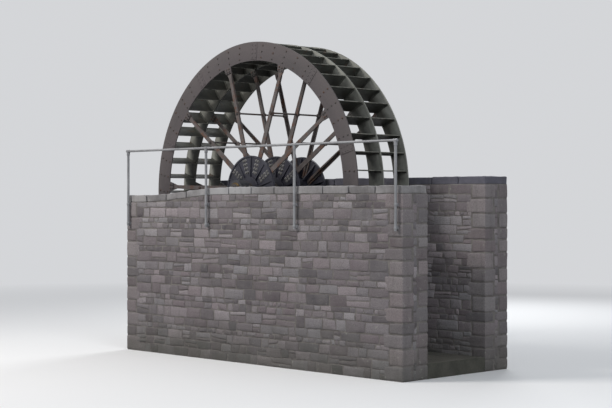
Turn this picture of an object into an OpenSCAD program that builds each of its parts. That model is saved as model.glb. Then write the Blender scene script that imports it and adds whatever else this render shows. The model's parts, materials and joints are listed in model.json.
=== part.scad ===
// Iron water wheel in its stone pit.
// Three rings of flat arms carry two bays of curved floats. The shaft turns in
// a plain bearing on each pit wall.
// +Z is up, the front wall faces -Y, and the shaft runs along Y. The origin is
// in the middle of the footprint, on the underside of the pit floor.

/* [Wheel] */
// Diameter over the shroud rings
wheel_d = 5500; // [5200:10:5800]
// Depth of the rings, from the outer edge to the inner edge
shroud_depth = 350; // [320:5:380]
// Thickness of the ring plates
shroud_t = 22; // [16:1:30]
// Clear width of each bay of floats, between two rings
bay_w = 630; // [560:5:700]
// Gap between two segments of a ring
segment_gap = 2; // [1:0.5:5]
// Thickness of the strap that laps each ring joint
strap_t = 8; // [6:1:12]
// Width of the strap that laps each ring joint
strap_w = 150; // [100:5:200]
// Step from the edges of a ring to its straps
strap_inset = 25; // [15:1:40]

/* [Floats] */
// Thickness of the float plates
float_t = 8; // [6:1:12]
// Radius of the curve of a float
float_curve = 1200; // [900:10:1800]
// Depth of the turned flange at each end of a float
float_flange = 36; // [25:1:50]
// Step from the inner edge of the rings to the inner edge of a float
float_inset = 5; // [4:1:15]
// Step from the outer edge of a float to the outer edge of the rings
float_step = 6; // [4:1:15]
// Radius of the bead along the outer edge of a float
lip_bead_r = 9; // [7:0.5:12]

/* [Arms] */
// Thickness of the arm plates
arm_t = 24; // [18:1:30]
// Width of an arm at the hub
arm_root_w = 100; // [90:2:116]
// Width of an arm below its foot
arm_tip_w = 66; // [56:2:80]
// Width of the foot that is bolted to the ring
arm_foot_w = 124; // [100:4:150]
// Length of the foot along the arm
arm_foot_len = 100; // [85:5:120]
// Length over which an arm widens to its foot
arm_flare = 100; // [80:5:140]
// Thickness of the rib along an arm
rib_t = 16; // [12:1:20]
// Depth of the rib along an arm
rib_depth = 45; // [35:1:60]
// Distance of the tie rods from the shaft axis
tie_radius = 1500; // [1300:10:1700]
// Diameter of the tie rods
tie_d = 32; // [24:1:40]
// Wall of the boss round each tie rod
tie_boss_wall = 18; // [12:1:24]
// Thickness of the tie rod nuts
tie_nut_t = 20; // [16:1:26]
// Width of the tie rod nuts across their corners
tie_nut_w = 64; // [56:1:72]

/* [Hubs] */
// Diameter of the hub barrel
hub_d = 460; // [430:5:480]
// Diameter of the hub flange
hub_flange_d = 1280; // [1200:10:1320]
// Thickness of the hub flange
hub_flange_t = 30; // [24:1:36]
// Width of the raised rim round the flange
hub_rim_w = 38; // [30:1:46]
// Height of that rim
hub_rim_h = 14; // [10:1:18]
// Length of the barrel on the ribbed side of the flange
hub_nose = 120; // [100:5:160]
// Length of the barrel on the plain side of the flange
hub_back = 34; // [20:1:40]
// Thickness of the hub ribs
hub_rib_t = 18; // [14:1:22]

/* [Shaft] */
// Diameter of the shaft between the bearings
shaft_d = 260; // [240:5:290]
// Diameter of the journals
journal_d = 220; // [180:5:230]
// Diameter of the driven end
drive_d = 180; // [140:5:200]
// Diameter of the thrust collars
collar_d = 320; // [300:5:360]
// Thickness of the thrust collars
collar_t = 28; // [20:1:30]
// Radial clearance of the journals in the brasses
journal_clear = 0.08; // [0.05:0.01:0.1]

/* [Bearings] */
// Length of the bearing housings along the shaft
bearing_len = 220; // [200:5:240]
// Wall of the bearing brasses
brass_t = 24; // [18:1:28]
// Length by which a brass stands out at each end of its housing
brass_proud = 6; // [4:1:10]
// Iron round the brass in the housing and in the cap
housing_wall = 46; // [38:1:56]
// Height of the shaft axis above the bedstone
pedestal_h = 260; // [245:5:290]
// Width of the pedestal's sole plate across the shaft
sole_w = 620; // [580:10:660]
// Thickness of the sole plate
sole_t = 45; // [36:1:56]
// Height of the flanges that join the housing and its cap
ear_t = 34; // [28:1:40]
// Width of each of those flanges beside the housing
ear_w = 62; // [50:1:70]
// Clearance of a piece on its seat, such as a brass, a strap or a coping stone
seat_clear = 0.3; // [0.2:0.05:0.4]
// Gap between a brass and the thrust collar
thrust_gap = 5; // [5:1:8]

/* [Pit] */
// Length of the pit walls
pit_len = 7250; // [6600:10:7800]
// Length of the walls to the left of the shaft axis
pit_left = 2850; // [2820:10:3000]
// Thickness of the pit walls
wall_t = 600; // [540:10:700]
// Gap between a ring and the wall beside it
side_gap = 90; // [70:5:130]
// Thickness of the pit floor
floor_t = 250; // [200:10:350]
// Gap between the wheel and the pit floor
float_gap = 120; // [80:5:200]
// Top of the front wall above the shaft axis
front_top = 50; // [0:5:80]
// Drop of the front wall's top at its left end
front_drop = 140; // [60:5:200]
// Length of that low stretch
front_low_len = 850; // [600:10:1100]
// Length of the slope from the low stretch to the full height
front_slope_len = 1700; // [1000:10:1900]
// Top of the back wall above the shaft axis
back_top = 220; // [160:5:260]
// Thickness of the coping stones
coping_t = 130; // [100:5:160]
// Overhang of the coping beyond the outer face of a wall
coping_over = 16; // [10:1:20]
// Number of coping stones along a wall
coping_n = 12; // [10:1:14]
// Gap between coping stones
coping_joint = 8; // [5:1:12]
// Width of the recess for a bearing in each wall
recess_w = 1000; // [940:10:1060]
// Depth of the recess in the front wall
recess_d = 360; // [340:5:400]
// Height of the bedstones
bed_h = 300; // [240:10:360]
// Gap between a bedstone and the recess round it
bed_joint = 10; // [6:1:15]

/* [Guard rail] */
// Height of the rail above the shaft axis
rail_h = 770; // [700:5:900]
// Diameter of the rail tube
rail_d = 42; // [38:1:46]
// Diameter of the post tubes
post_d = 48; // [44:1:54]
// Length of the posts below the shaft axis
post_drop = 690; // [600:5:800]
// Distance from each end of the wall to the last post
post_start = 100; // [60:5:140]
// Distance between the front wall's face and the middle of a post
post_off = 58; // [50:1:70]
// Height of the clips that hold a post to the wall
clip_h = 50; // [40:1:60]
// Distance of the upper clip below the lowest coping stone
clip_drop = 45; // [35:5:90]

/* [Hidden] */
$fn = 64;
RIM_FN = 300;
ARM_N = 10;
FLOAT_N = 52;
GROUP_N = 4;
POST_N = 4;
ARM_PHASE = -2;
FLOAT_PHASE = 0.9;
ARM_PITCH = 360 / ARM_N;
FLOAT_PITCH = 360 / FLOAT_N;
EPS = 1;

wheel_r = wheel_d / 2;
inner_r = wheel_r - shroud_depth;
hub_r = hub_d / 2;
hub_flange_r = hub_flange_d / 2;
journal_r = journal_d / 2;

// Faces of the rings along the shaft, from the middle of the wheel
mid_face = shroud_t / 2;
near_face = mid_face + bay_w;
half_w = near_face + shroud_t;
wall_in = half_w + side_gap;
wall_out = wall_in + wall_t;

// Arms
arm_start_r = hub_r + 14;
arm_end_r = inner_r - 6;
arm_neck_r = arm_end_r - arm_foot_len;
arm_grip_r = hub_flange_r + 20;
lug_r = arm_neck_r - 8;
tie_boss_r = tie_d / 2 + tie_boss_wall;

// Curve of a float: it leaves its inner edge radially and bends to the rim
float_r0 = inner_r + float_inset;
float_r1 = wheel_r - float_step - lip_bead_r;
float_lean = atan2(float_curve, float_r0);
float_far = norm([float_r0, float_curve]);
float_rise = float_r1 * float_r1 - float_r0 * float_r0 - 2 * float_curve * float_curve;
float_sweep = float_lean + asin(float_rise / (2 * float_curve * float_far));

// Bearings
brass_r = journal_r + brass_t;
bore_r = brass_r + seat_clear;
housing_r = bore_r + housing_wall;
bearing_y = wall_in + recess_d / 2;
brass_len = bearing_len + 2 * brass_proud;
collar_face = bearing_y - brass_len / 2 - thrust_gap;
shaft_end = wall_in + recess_d - 30;
drive_end = wall_out - 20;

// Pit
front_over = post_off + post_d / 2;
back_over = coping_over;
axle_x = pit_left - pit_len / 2;
axle_y = (front_over - back_over) / 2;
axle_z = floor_t + float_gap + wheel_r;
station = pit_len / coping_n;
bed_top = axle_z - pedestal_h;
recess_floor = bed_top - bed_h;
post_pitch = (pit_len - 2 * post_start) / (POST_N - 1);
clip_top = front_drop + coping_t + clip_drop - front_top;

function two(i) = str(i < 10 ? "0" : "", i);
function float_names(bay) = [for (i = [1:GROUP_N]) str("floats_", bay, "_", two(i))];
function arm_angle(i) = ARM_PHASE + i * ARM_PITCH;
function flat_profile(x) = 0;
function front_profile(x) =
    let (run = (x + pit_left - front_low_len) / front_slope_len)
    -front_drop * (1 - min(1, max(0, run)));
function wall_top(x, top, sloped) = axle_z + top + (sloped ? front_profile(x) : flat_profile(x));
function station_x(i) = i * station - pit_left;

// Height of the coping at x: a straight line from station i to the next one
function coping_top(i, x, top, sloped) =
    let (low = wall_top(station_x(i), top, sloped), high = wall_top(station_x(i + 1), top, sloped))
    low + (high - low) * (x - station_x(i)) / station;

NEAR_FLOATS = float_names("near");
FAR_FLOATS = float_names("far");

// Puts a piece that is drawn about its own axis, with +Z to the front and +Y
// up, on the shaft's axis
module on_axle() {
    translate([axle_x, axle_y, axle_z])
        rotate([90, 0, 0])
            children();
}

// Puts a piece that is drawn with X from the shaft axis and Z from the floor
module in_pit() {
    translate([axle_x, axle_y, 0])
        children();
}

// Turns a piece to each arm
module at_arms() {
    for (i = [0:ARM_N - 1])
        rotate(arm_angle(i))
            children();
}

// One segment of a ring from the inner to the outer edge
module ring_sector(sweep, thick) {
    rotate(-sweep / 2)
        rotate_extrude(angle = sweep, $fn = RIM_FN)
            translate([inner_r, 0])
                square([shroud_depth, thick]);
}

// Lug on the inner edge of a ring segment, which carries an arm's foot
module ring_lug() {
    linear_extrude(shroud_t)
        polygon([
            [lug_r, -arm_foot_w / 2 - 6],
            [inner_r + 20, -arm_foot_w / 2 - 40],
            [inner_r + 20, arm_foot_w / 2 + 40],
            [lug_r, arm_foot_w / 2 + 6]
        ]);
}

// A stretch of the strap that laps a ring joint, between two angles
module strap_stretch(start, sweep, z, thick) {
    rotate(start)
        rotate_extrude(angle = sweep, $fn = RIM_FN)
            translate([inner_r + strap_inset, z])
                square([shroud_depth - 2 * strap_inset, thick]);
}

// The strap on the outer face of the segment that has it: its first half is
// one with the segment, and its second half lies over the next one
module ring_strap(gap_sweep) {
    sweep = strap_w / inner_r * 180 / PI;
    start = (ARM_PITCH - sweep) / 2;
    strap_stretch(start, sweep, shroud_t + seat_clear, strap_t);
    strap_stretch(start, (sweep - gap_sweep) / 2, shroud_t - EPS, seat_clear + 2 * EPS);
}

module ring(strapped) {
    gap_sweep = segment_gap / wheel_r * 180 / PI;
    at_arms() {
        ring_sector(ARM_PITCH - gap_sweep, shroud_t);
        ring_lug();
        if (strapped)
            ring_strap(gap_sweep);
    }
}

// One arm: a tapered plate with a foot at the ring, a rib and a tie rod boss
module arm() {
    difference() {
        union() {
            translate([0, 0, -arm_t])
                linear_extrude(arm_t)
                    polygon([
                        [arm_start_r, -arm_root_w / 2],
                        [arm_grip_r, -arm_root_w / 2],
                        [arm_neck_r - arm_flare, -arm_tip_w / 2],
                        [arm_neck_r, -arm_foot_w / 2],
                        [arm_end_r, -arm_foot_w / 2],
                        [arm_end_r, arm_foot_w / 2],
                        [arm_neck_r, arm_foot_w / 2],
                        [arm_neck_r - arm_flare, arm_tip_w / 2],
                        [arm_grip_r, arm_root_w / 2],
                        [arm_start_r, arm_root_w / 2]
                    ]);
            translate([0, rib_t / 2, 0])
                rotate([90, 0, 0])
                    linear_extrude(rib_t)
                        polygon([
                            [arm_start_r, -arm_t / 2],
                            [arm_end_r - 20, -arm_t / 2],
                            [arm_end_r - 20, -arm_t - 6],
                            [arm_neck_r - arm_flare, -arm_t - rib_depth],
                            [arm_grip_r + 60, -arm_t - rib_depth],
                            [arm_start_r, -arm_t - 12]
                        ]);
            translate([tie_radius, 0, -arm_t - rib_depth])
                cylinder(r = tie_boss_r, h = arm_t + rib_depth);
        }
        translate([tie_radius, 0, -arm_t - rib_depth - EPS])
            cylinder(d = tie_d + 2 * seat_clear, h = arm_t + rib_depth + 2 * EPS);
    }
}

module arm_set() {
    at_arms()
        arm();
}

// Raised rim round the open face of a hub flange
module hub_rim() {
    rotate_extrude($fn = 96)
        polygon([
            [hub_flange_r, hub_flange_t / 2],
            [hub_flange_r, hub_flange_t + hub_rim_h],
            [hub_flange_r - hub_rim_w + 8, hub_flange_t + hub_rim_h],
            [hub_flange_r - hub_rim_w, hub_flange_t / 2]
        ]);
}

// Rib on both faces of a hub flange, halfway between two arms
module hub_rib() {
    rib_out = hub_flange_r - hub_rim_w / 2;
    translate([0, hub_rib_t / 2, 0])
        rotate([90, 0, 0])
            linear_extrude(hub_rib_t)
                polygon([
                    [hub_r - 20, -hub_nose + 12],
                    [hub_r + 30, -hub_nose + 12],
                    [rib_out, -18],
                    [rib_out, hub_flange_t + hub_rim_h - 3],
                    [hub_r + 40, hub_flange_t + hub_back - 4],
                    [hub_r - 20, hub_flange_t + hub_back - 4]
                ]);
}

// Hub of one ring: a barrel on the shaft, a flange that the arms are bolted
// to, and a rib between each two arms
module hub() {
    difference() {
        union() {
            translate([0, 0, -hub_nose])
                cylinder(d = hub_d, h = hub_nose + hub_flange_t + hub_back);
            cylinder(d = hub_flange_d, h = hub_flange_t, $fn = 96);
            translate([0, 0, hub_flange_t + hub_back - 14])
                cylinder(d = hub_d + 28, h = 14);
            hub_rim();
            for (i = [0:ARM_N - 1])
                rotate(arm_angle(i + 0.5))
                    hub_rib();
        }
        translate([0, 0, -hub_nose - EPS])
            cylinder(d = shaft_d + 2 * seat_clear, h = hub_nose + hub_flange_t + hub_back + 2 * EPS);
    }
}

// One curved float between z = 0 and z = bay_w, its inner edge on the X axis.
// Its section is a channel: the plate with a turned flange at each end.
module float_plate() {
    translate([float_r0, -float_curve, 0])
        rotate(90 - float_sweep)
            rotate_extrude(angle = float_sweep, $fn = 96) {
                translate([float_curve - float_t / 2, 0])
                    square([float_t, bay_w]);
                for (z = [0, bay_w - float_t])
                    translate([float_curve - float_flange, z])
                        square([float_flange, float_t]);
            }
}

// Bead along the outer edge of a float, on the end of the curve
module float_bead() {
    translate([float_r0, -float_curve, 0])
        rotate(90 - float_sweep)
            translate([float_curve, 0, 0])
                cylinder(r = lip_bead_r, h = bay_w, $fn = 24);
}

// The floats of quarter i of a bay
module float_group(i, z) {
    count = FLOAT_N / GROUP_N;
    for (j = [0:count - 1])
        rotate(FLOAT_PHASE + (i * count + j) * FLOAT_PITCH)
            translate([0, 0, z]) {
                float_plate();
                float_bead();
            }
}

module floats_near(i) {
    color("darkslategray")
        on_axle()
            float_group(i, mid_face);
}

module floats_far(i) {
    color("darkslategray")
        on_axle()
            float_group(i, -near_face);
}

// Outline of a wall or its coping between two lines of stations, in X and Z
module wall_outline(top, sloped) {
    polygon(concat(
        [[-pit_left, 0]],
        [for (i = [0:coping_n])
            [station_x(i), wall_top(station_x(i), top, sloped) - coping_t]],
        [[pit_len - pit_left, 0]]));
}

// Room for the bearing and its bedstone, cut from the wall's inner face
module recess(depth) {
    translate([-recess_w / 2, wall_in - EPS, recess_floor])
        cube([recess_w, depth + EPS, axle_z]);
}

module wall(top, sloped, depth) {
    difference() {
        translate([0, wall_out, 0])
            rotate([90, 0, 0])
                linear_extrude(wall_t)
                    wall_outline(top, sloped);
        recess(depth);
    }
}

// A row of coping stones, each just clear of the wall it is bedded on
module coping(top, sloped, depth) {
    under = coping_t - seat_clear;
    difference() {
        for (i = [0:coping_n - 1]) {
            x0 = station_x(i) + coping_joint / 2;
            x1 = station_x(i + 1) - coping_joint / 2;
            z0 = coping_top(i, x0, top, sloped);
            z1 = coping_top(i, x1, top, sloped);
            translate([0, wall_out + coping_over, 0])
                rotate([90, 0, 0])
                    linear_extrude(wall_t + coping_over)
                        polygon([[x0, z0 - under], [x1, z1 - under], [x1, z1], [x0, z0]]);
        }
        recess(depth);
    }
}

module front_wall() {
    color("rosybrown")
        in_pit()
            mirror([0, 1, 0])
                wall(front_top, true, recess_d);
}

module front_coping() {
    color("tan")
        in_pit()
            mirror([0, 1, 0])
                coping(front_top, true, recess_d);
}

module back_wall() {
    color("rosybrown")
        in_pit()
            wall(back_top, false, wall_t + EPS);
}

module back_coping() {
    color("slategray")
        in_pit()
            coping(back_top, false, wall_t + coping_over + EPS);
}

module pit_floor() {
    color("gray")
        in_pit()
            translate([-pit_left, -wall_in, 0])
                cube([pit_len, 2 * wall_in, floor_t]);
}

module bedstones() {
    color("lightgray")
        in_pit()
            for (side = [0, 1])
                mirror([0, side, 0])
                    translate([-recess_w / 2 + bed_joint, wall_in, recess_floor])
                        cube([recess_w - 2 * bed_joint, recess_d - bed_joint, bed_h]);
}

// Lower half of a bearing: sole plate, pedestal and half housing
module pedestal() {
    ear_r = housing_r + ear_w;
    translate([0, 0, -bearing_len / 2])
        difference() {
            union() {
                translate([-sole_w / 2, -pedestal_h, -10])
                    cube([sole_w, sole_t, bearing_len + 20]);
                linear_extrude(bearing_len)
                    polygon([
                        [-sole_w / 2 + 90, -pedestal_h + sole_t / 2],
                        [sole_w / 2 - 90, -pedestal_h + sole_t / 2],
                        [housing_r, -60],
                        [housing_r, 0],
                        [-housing_r, 0],
                        [-housing_r, -60]
                    ]);
                translate([-ear_r, -ear_t, 20])
                    cube([2 * ear_r, ear_t, bearing_len - 40]);
            }
            translate([0, 0, -10 - EPS])
                cylinder(r = bore_r, h = bearing_len + 20 + 2 * EPS);
        }
}

// Upper half of a bearing: the cap, with a flange at each side
module cap() {
    ear_r = housing_r + ear_w;
    translate([0, 0, -bearing_len / 2])
        difference() {
            union() {
                intersection() {
                    cylinder(r = housing_r, h = bearing_len, $fn = 96);
                    translate([-housing_r, 0, 0])
                        cube([2 * housing_r, 2 * housing_r, bearing_len]);
                }
                translate([-ear_r, 0, 20])
                    cube([2 * ear_r, ear_t, bearing_len - 40]);
                translate([0, housing_r - 12, bearing_len / 2])
                    rotate([-90, 0, 0])
                        cylinder(r = 26, h = 40);
            }
            translate([0, 0, -EPS])
                cylinder(r = bore_r, h = bearing_len + 2 * EPS);
        }
}

module at_bearing(side) {
    on_axle()
        translate([0, 0, side * bearing_y])
            children();
}

module bearing_brasses() {
    color("goldenrod")
        for (side = [1, -1])
            at_bearing(side)
                difference() {
                    translate([0, 0, -brass_len / 2])
                        cylinder(r = brass_r, h = brass_len, $fn = 96);
                    translate([0, 0, -brass_len / 2 - EPS])
                        cylinder(r = journal_r + journal_clear, h = brass_len + 2 * EPS, $fn = 96);
                }
}

// The shaft, drawn along Z with the front end up
module shaft_body() {
    body_half = collar_face - collar_t;
    translate([0, 0, -body_half])
        cylinder(d = shaft_d, h = 2 * body_half, $fn = 96);
    for (side = [0, 1])
        mirror([0, 0, side]) {
            translate([0, 0, body_half])
                cylinder(d = collar_d, h = collar_t, $fn = 96);
            translate([0, 0, collar_face])
                cylinder(r = journal_r, h = shaft_end - collar_face, $fn = 96);
        }
    translate([0, 0, -drive_end])
        cylinder(d = drive_d, h = drive_end - shaft_end + 2 * EPS, $fn = 96);
}

module shaft() {
    color("dimgray")
        on_axle()
            shaft_body();
}

module hub_near() {
    color("slategray")
        on_axle()
            translate([0, 0, near_face])
                hub();
}

module hub_middle() {
    color("slategray")
        on_axle()
            translate([0, 0, -mid_face])
                hub();
}

module hub_far() {
    color("slategray")
        on_axle()
            mirror([0, 0, 1])
                translate([0, 0, near_face])
                    hub();
}

module arms_near() {
    color("darkgray")
        on_axle()
            translate([0, 0, near_face])
                arm_set();
}

module arms_middle() {
    color("darkgray")
        on_axle()
            translate([0, 0, -mid_face])
                arm_set();
}

module arms_far() {
    color("darkgray")
        on_axle()
            mirror([0, 0, 1])
                translate([0, 0, near_face])
                    arm_set();
}

module shroud_near() {
    color("rosybrown")
        on_axle()
            translate([0, 0, near_face])
                ring(true);
}

module shroud_middle() {
    color("gray")
        on_axle()
            translate([0, 0, -mid_face])
                ring(false);
}

module shroud_far() {
    color("gray")
        on_axle()
            mirror([0, 0, 1])
                translate([0, 0, near_face])
                    ring(true);
}

// Rods through the bosses of the three arm sets, with a nut at each end
module tie_rods() {
    color("dimgray")
        on_axle()
            at_arms()
                translate([tie_radius, 0, 0]) {
                    translate([0, 0, -near_face - tie_nut_t - 8])
                        cylinder(d = tie_d, h = 2 * (near_face + tie_nut_t + 8));
                    for (side = [0, 1])
                        mirror([0, 0, side])
                            translate([0, 0, near_face])
                                cylinder(d = tie_nut_w, h = tie_nut_t, $fn = 6);
                }
}

module guard_posts() {
    color("lightgray")
        in_pit()
            for (i = [0:POST_N - 1])
                translate([-pit_left + post_start + i * post_pitch, -wall_out - post_off, axle_z]) {
                    translate([0, 0, -post_drop])
                        cylinder(d = post_d, h = post_drop + rail_h - rail_d / 2);
                    for (z = [-clip_top, -post_drop + clip_h])
                        translate([-clip_h / 2, 0, z - clip_h / 2])
                            cube([clip_h, post_off, clip_h]);
                }
}

module guard_rail() {
    color("lightgray")
        in_pit()
            translate([-pit_left + post_start - post_d, -wall_out - post_off, axle_z + rail_h])
                rotate([0, 90, 0])
                    cylinder(d = rail_d, h = (POST_N - 1) * post_pitch + 2 * post_d);
}

module pedestal_front() {
    color("darkslategray")
        at_bearing(1)
            pedestal();
}

module pedestal_back() {
    color("darkslategray")
        at_bearing(-1)
            pedestal();
}

module cap_front() {
    color("darkslategray")
        at_bearing(1)
            cap();
}

module cap_back() {
    color("darkslategray")
        at_bearing(-1)
            cap();
}

front_wall();
front_coping();
back_wall();
back_coping();
pit_floor();
bedstones();
pedestal_front();
pedestal_back();
cap_front();
cap_back();
bearing_brasses();
guard_posts();
guard_rail();
shaft();
hub_near();
hub_middle();
hub_far();
arms_near();
arms_middle();
arms_far();
shroud_near();
shroud_middle();
shroud_far();
tie_rods();
for (i = [0:GROUP_N - 1]) {
    floats_near(i);
    floats_far(i);
}
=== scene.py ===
# %% [markdown]
# # An iron water wheel in its stone pit
#
# The construction comes ready made: every piece of the wheel and of its pit has
# its true size and place, and the wheel already turns on its shaft. This lesson
# dresses it. It paints iron that has stood in water for a century, rolls a
# hundred curved floats, puts in the bolts, and lays the walls stone by stone.
#
# Units are metres. +Z is up, the front wall faces -Y, and the shaft runs along
# Y. Every new piece rides on a body, so that it turns with the wheel or stays
# with the pit.

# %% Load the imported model
import json
import math

import bmesh
import bpy
import numpy as np
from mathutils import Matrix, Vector


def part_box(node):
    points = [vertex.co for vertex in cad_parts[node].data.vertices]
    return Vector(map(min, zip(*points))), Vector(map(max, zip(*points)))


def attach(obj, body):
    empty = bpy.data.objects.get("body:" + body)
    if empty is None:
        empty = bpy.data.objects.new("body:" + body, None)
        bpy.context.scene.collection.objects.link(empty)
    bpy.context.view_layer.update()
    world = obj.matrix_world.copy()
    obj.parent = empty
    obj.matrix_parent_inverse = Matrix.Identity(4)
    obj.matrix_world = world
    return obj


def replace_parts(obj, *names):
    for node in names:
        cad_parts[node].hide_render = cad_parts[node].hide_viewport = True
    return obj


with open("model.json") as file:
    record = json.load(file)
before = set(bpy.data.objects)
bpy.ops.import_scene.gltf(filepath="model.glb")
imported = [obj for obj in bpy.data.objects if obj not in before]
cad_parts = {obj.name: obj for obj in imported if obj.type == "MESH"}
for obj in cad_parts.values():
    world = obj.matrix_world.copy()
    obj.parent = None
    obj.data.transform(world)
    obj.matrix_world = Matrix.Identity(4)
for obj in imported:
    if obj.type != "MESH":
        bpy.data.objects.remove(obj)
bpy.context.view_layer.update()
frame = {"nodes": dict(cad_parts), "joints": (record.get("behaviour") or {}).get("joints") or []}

nodes = frame["nodes"]

# %% [markdown]
# ## Sizes that the frame gives
#
# A dressed piece has to sit on the piece that carries it, so its place is read
# from the frame and not guessed: the shaft's axis from the joint, the rings from
# their boxes. The numbers could be typed in again, but then a change to the
# construction would leave them behind. Only what a box can't tell, such as the
# depth of a ring's plate, is written here as a size.

# %% Read the wheel
RING_DEPTH = 0.350
RING_T = 0.022


def box(node):
    """The low and the high corner of a node, as arrays."""
    return [np.array(corner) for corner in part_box(node)]


AXLE = np.array(frame["joints"][0]["pos_m"])
middle_lo, middle_hi = box("shroud_middle")
WHEEL_R = (middle_hi[0] - middle_lo[0]) / 2
INNER_R = WHEEL_R - RING_DEPTH
MIDDLE_FRONT, MIDDLE_BACK = middle_lo[1], middle_hi[1]
NEAR_IN = box("shroud_near")[1][1]
NEAR_OUT = NEAR_IN - RING_T
FAR_IN = box("shroud_far")[0][1]
FAR_OUT = FAR_IN + RING_T
print("wheel radius", round(WHEEL_R, 3), "axle height", round(AXLE[2], 3))

# %% [markdown]
# ## Shaders in a few words
#
# A finish is a tree of nodes. It could be drawn by hand in the shader editor, but
# written down it can be made again with other values, and ten irons come from
# one recipe. Every node is placed in the same way: its settings first, then its
# inputs, each linked to another node or set to a plain value.

# %% Place a node
def made(*tools):
    """Prints the names of the helpers that a cell has made."""
    print("made", ", ".join(tool.__name__ for tool in tools))


def feed(tree, place, value):
    """Links a place to another node's socket, or sets a plain value there. A
    colour is given as three numbers and gets its fourth here."""
    if isinstance(value, bpy.types.NodeSocket):
        tree.links.new(value, place)
    else:
        place.default_value = (*value, 1) if place.type == "RGBA" else value


def put(tree, kind, settings=None, **sockets):
    """A node with its settings, and its inputs fed. A socket's name is written
    with _ for a space, and in_0, in_1 are numbered sockets."""
    node = tree.nodes.new("ShaderNode" + kind)
    for key, value in (settings or {}).items():
        setattr(node, key, value)
    for key, value in sockets.items():
        place = int(key[3:]) if key.startswith("in_") else key.replace("_", " ")
        feed(tree, node.inputs[place], value)
    return node


made(feed, put)

# %% [markdown]
# ### Sums
#
# Weather is arithmetic: how damp a stone is follows from its height, plus noise,
# times how much the damp shows. Each step is a Math node, which takes a line of
# settings to write out. One short word for each keeps the arithmetic readable.

# %% Words for sums
def sums(tree, operation, a, b=0.5, clamp=False):
    """The result of one Math node on a and b."""
    return put(tree, "Math", {"operation": operation, "use_clamp": clamp}, in_0=a, in_1=b).outputs[0]


def times(tree, a, b):
    """a times b."""
    return sums(tree, "MULTIPLY", a, b)


def plus(tree, a, b, clamp=False):
    """a plus b, kept from 0 to 1 where clamp is on."""
    return sums(tree, "ADD", a, b, clamp)


def minus(tree, a, b):
    """a minus b."""
    return sums(tree, "SUBTRACT", a, b)


def vectors(tree, operation, a, b):
    """The result of one Vector Math node on a and b."""
    return put(tree, "VectorMath", {"operation": operation}, in_0=a, in_1=b).outputs[0]


def split(tree, vector):
    """The three coordinates of a vector."""
    return put(tree, "SeparateXYZ", None, Vector=vector).outputs


made(sums, times, plus, minus, vectors, split)

# %% [markdown]
# ### Masks, colours and noise
#
# Dirt, rust and lichen all lie over something in patches. A mask, from 0 to 1,
# says where, noise makes its edge ragged, and a colour is blended over the one
# below by as much. Layers of an image could do this too, but these work on any
# piece at any size.

# %% Words for masks, colours and noise
def ramp(tree, value, low, high):
    """A mask that goes from 0 to 1 while value goes from low to high."""
    return put(tree, "MapRange", {"clamp": True}, in_0=value, in_1=low, in_2=high).outputs[0]


def blend(tree, factor, low, high, mode="MIX"):
    """The colour that goes from low to high while factor goes from 0 to 1."""
    settings = {"data_type": "RGBA", "blend_type": mode, "clamp_factor": True}
    return put(tree, "Mix", settings, in_0=factor, in_6=low, in_7=high).outputs[2]


def cover(tree, base, color, mask, share):
    """The colour base, with color laid over it by mask times share."""
    return blend(tree, times(tree, mask, share), base, color)


def grain(tree, vector, scale, detail=6.0, rough=0.6):
    """The value of a noise texture."""
    return put(tree, "TexNoise", None, Vector=vector, Scale=scale, Detail=detail,
               Roughness=rough).outputs[0]


made(ramp, blend, cover, grain)

# %% [markdown]
# ## Shared effects as node groups
#
# Old iron and old stone have the same faults in different amounts: they mottle,
# they rust or grow green, and water runs down them. Each fault could be drawn
# again in every material, but then a change would have to be made ten times. Here
# each is one node group, built once, with named inputs, and a material places it
# with its own values. The groups put out only colours and masks: the Principled
# shader stays in each material.

# %% Open, close and use a group
GROUPS = {}


def new_group(name, **inputs):
    """A shader node group with an input for each name: a number with its usual
    value, or a vector where that is None. Gives back its tree and its inputs."""
    GROUPS[name] = tree = bpy.data.node_groups.new(name, "ShaderNodeTree")
    for label, value in inputs.items():
        kind = "NodeSocketVector" if value is None else "NodeSocketFloat"
        socket = tree.interface.new_socket(label, in_out="INPUT", socket_type=kind)
        if value is not None:
            socket.default_value = value
    return tree, tree.nodes.new("NodeGroupInput").outputs


def give(tree, **results):
    """Closes a group with an output for each result, of that result's kind."""
    kinds = {"VALUE": "NodeSocketFloat", "VECTOR": "NodeSocketVector", "RGBA": "NodeSocketColor"}
    for label, result in results.items():
        tree.interface.new_socket(label, in_out="OUTPUT", socket_type=kinds[result.type])
    outputs = tree.nodes.new("NodeGroupOutput").inputs
    for label, result in results.items():
        tree.links.new(result, outputs[label])


def use(tree, group, **sockets):
    """Places a group in a material's tree and gives back its outputs."""
    return put(tree, "Group", {"node_tree": GROUPS[group]}, **sockets).outputs


made(new_group, give, use)

# %% [markdown]
# ### Mottle, rust and runs
#
# Mottle is cloudy noise in two sizes. Rust is noise cut off at a threshold, so
# that Amount moves the edge of its patches. Runs squeezes the coordinates along Z
# before the noise, which draws the pattern out into streaks, as rain does. An
# image would give all this too, but it would have to be wrapped round every
# piece, and noise needs no wrapping.

# %% Make mottle, rust and runs
def make_mottle():
    """Fac is cloudy noise plus a quarter as much fine noise, spread by Contrast."""
    tree, given = new_group("mottle", Vector=None, Scale=3.0, Contrast=1.0)
    cloud = grain(tree, given["Vector"], given["Scale"])
    fine = grain(tree, given["Vector"], times(tree, given["Scale"], 9.0), 4.0)
    both = plus(tree, times(tree, cloud, 0.78), times(tree, fine, 0.22))
    spread = times(tree, minus(tree, both, 0.5), times(tree, given["Contrast"], 3.0))
    give(tree, Fac=plus(tree, spread, 0.5, True))


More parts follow.
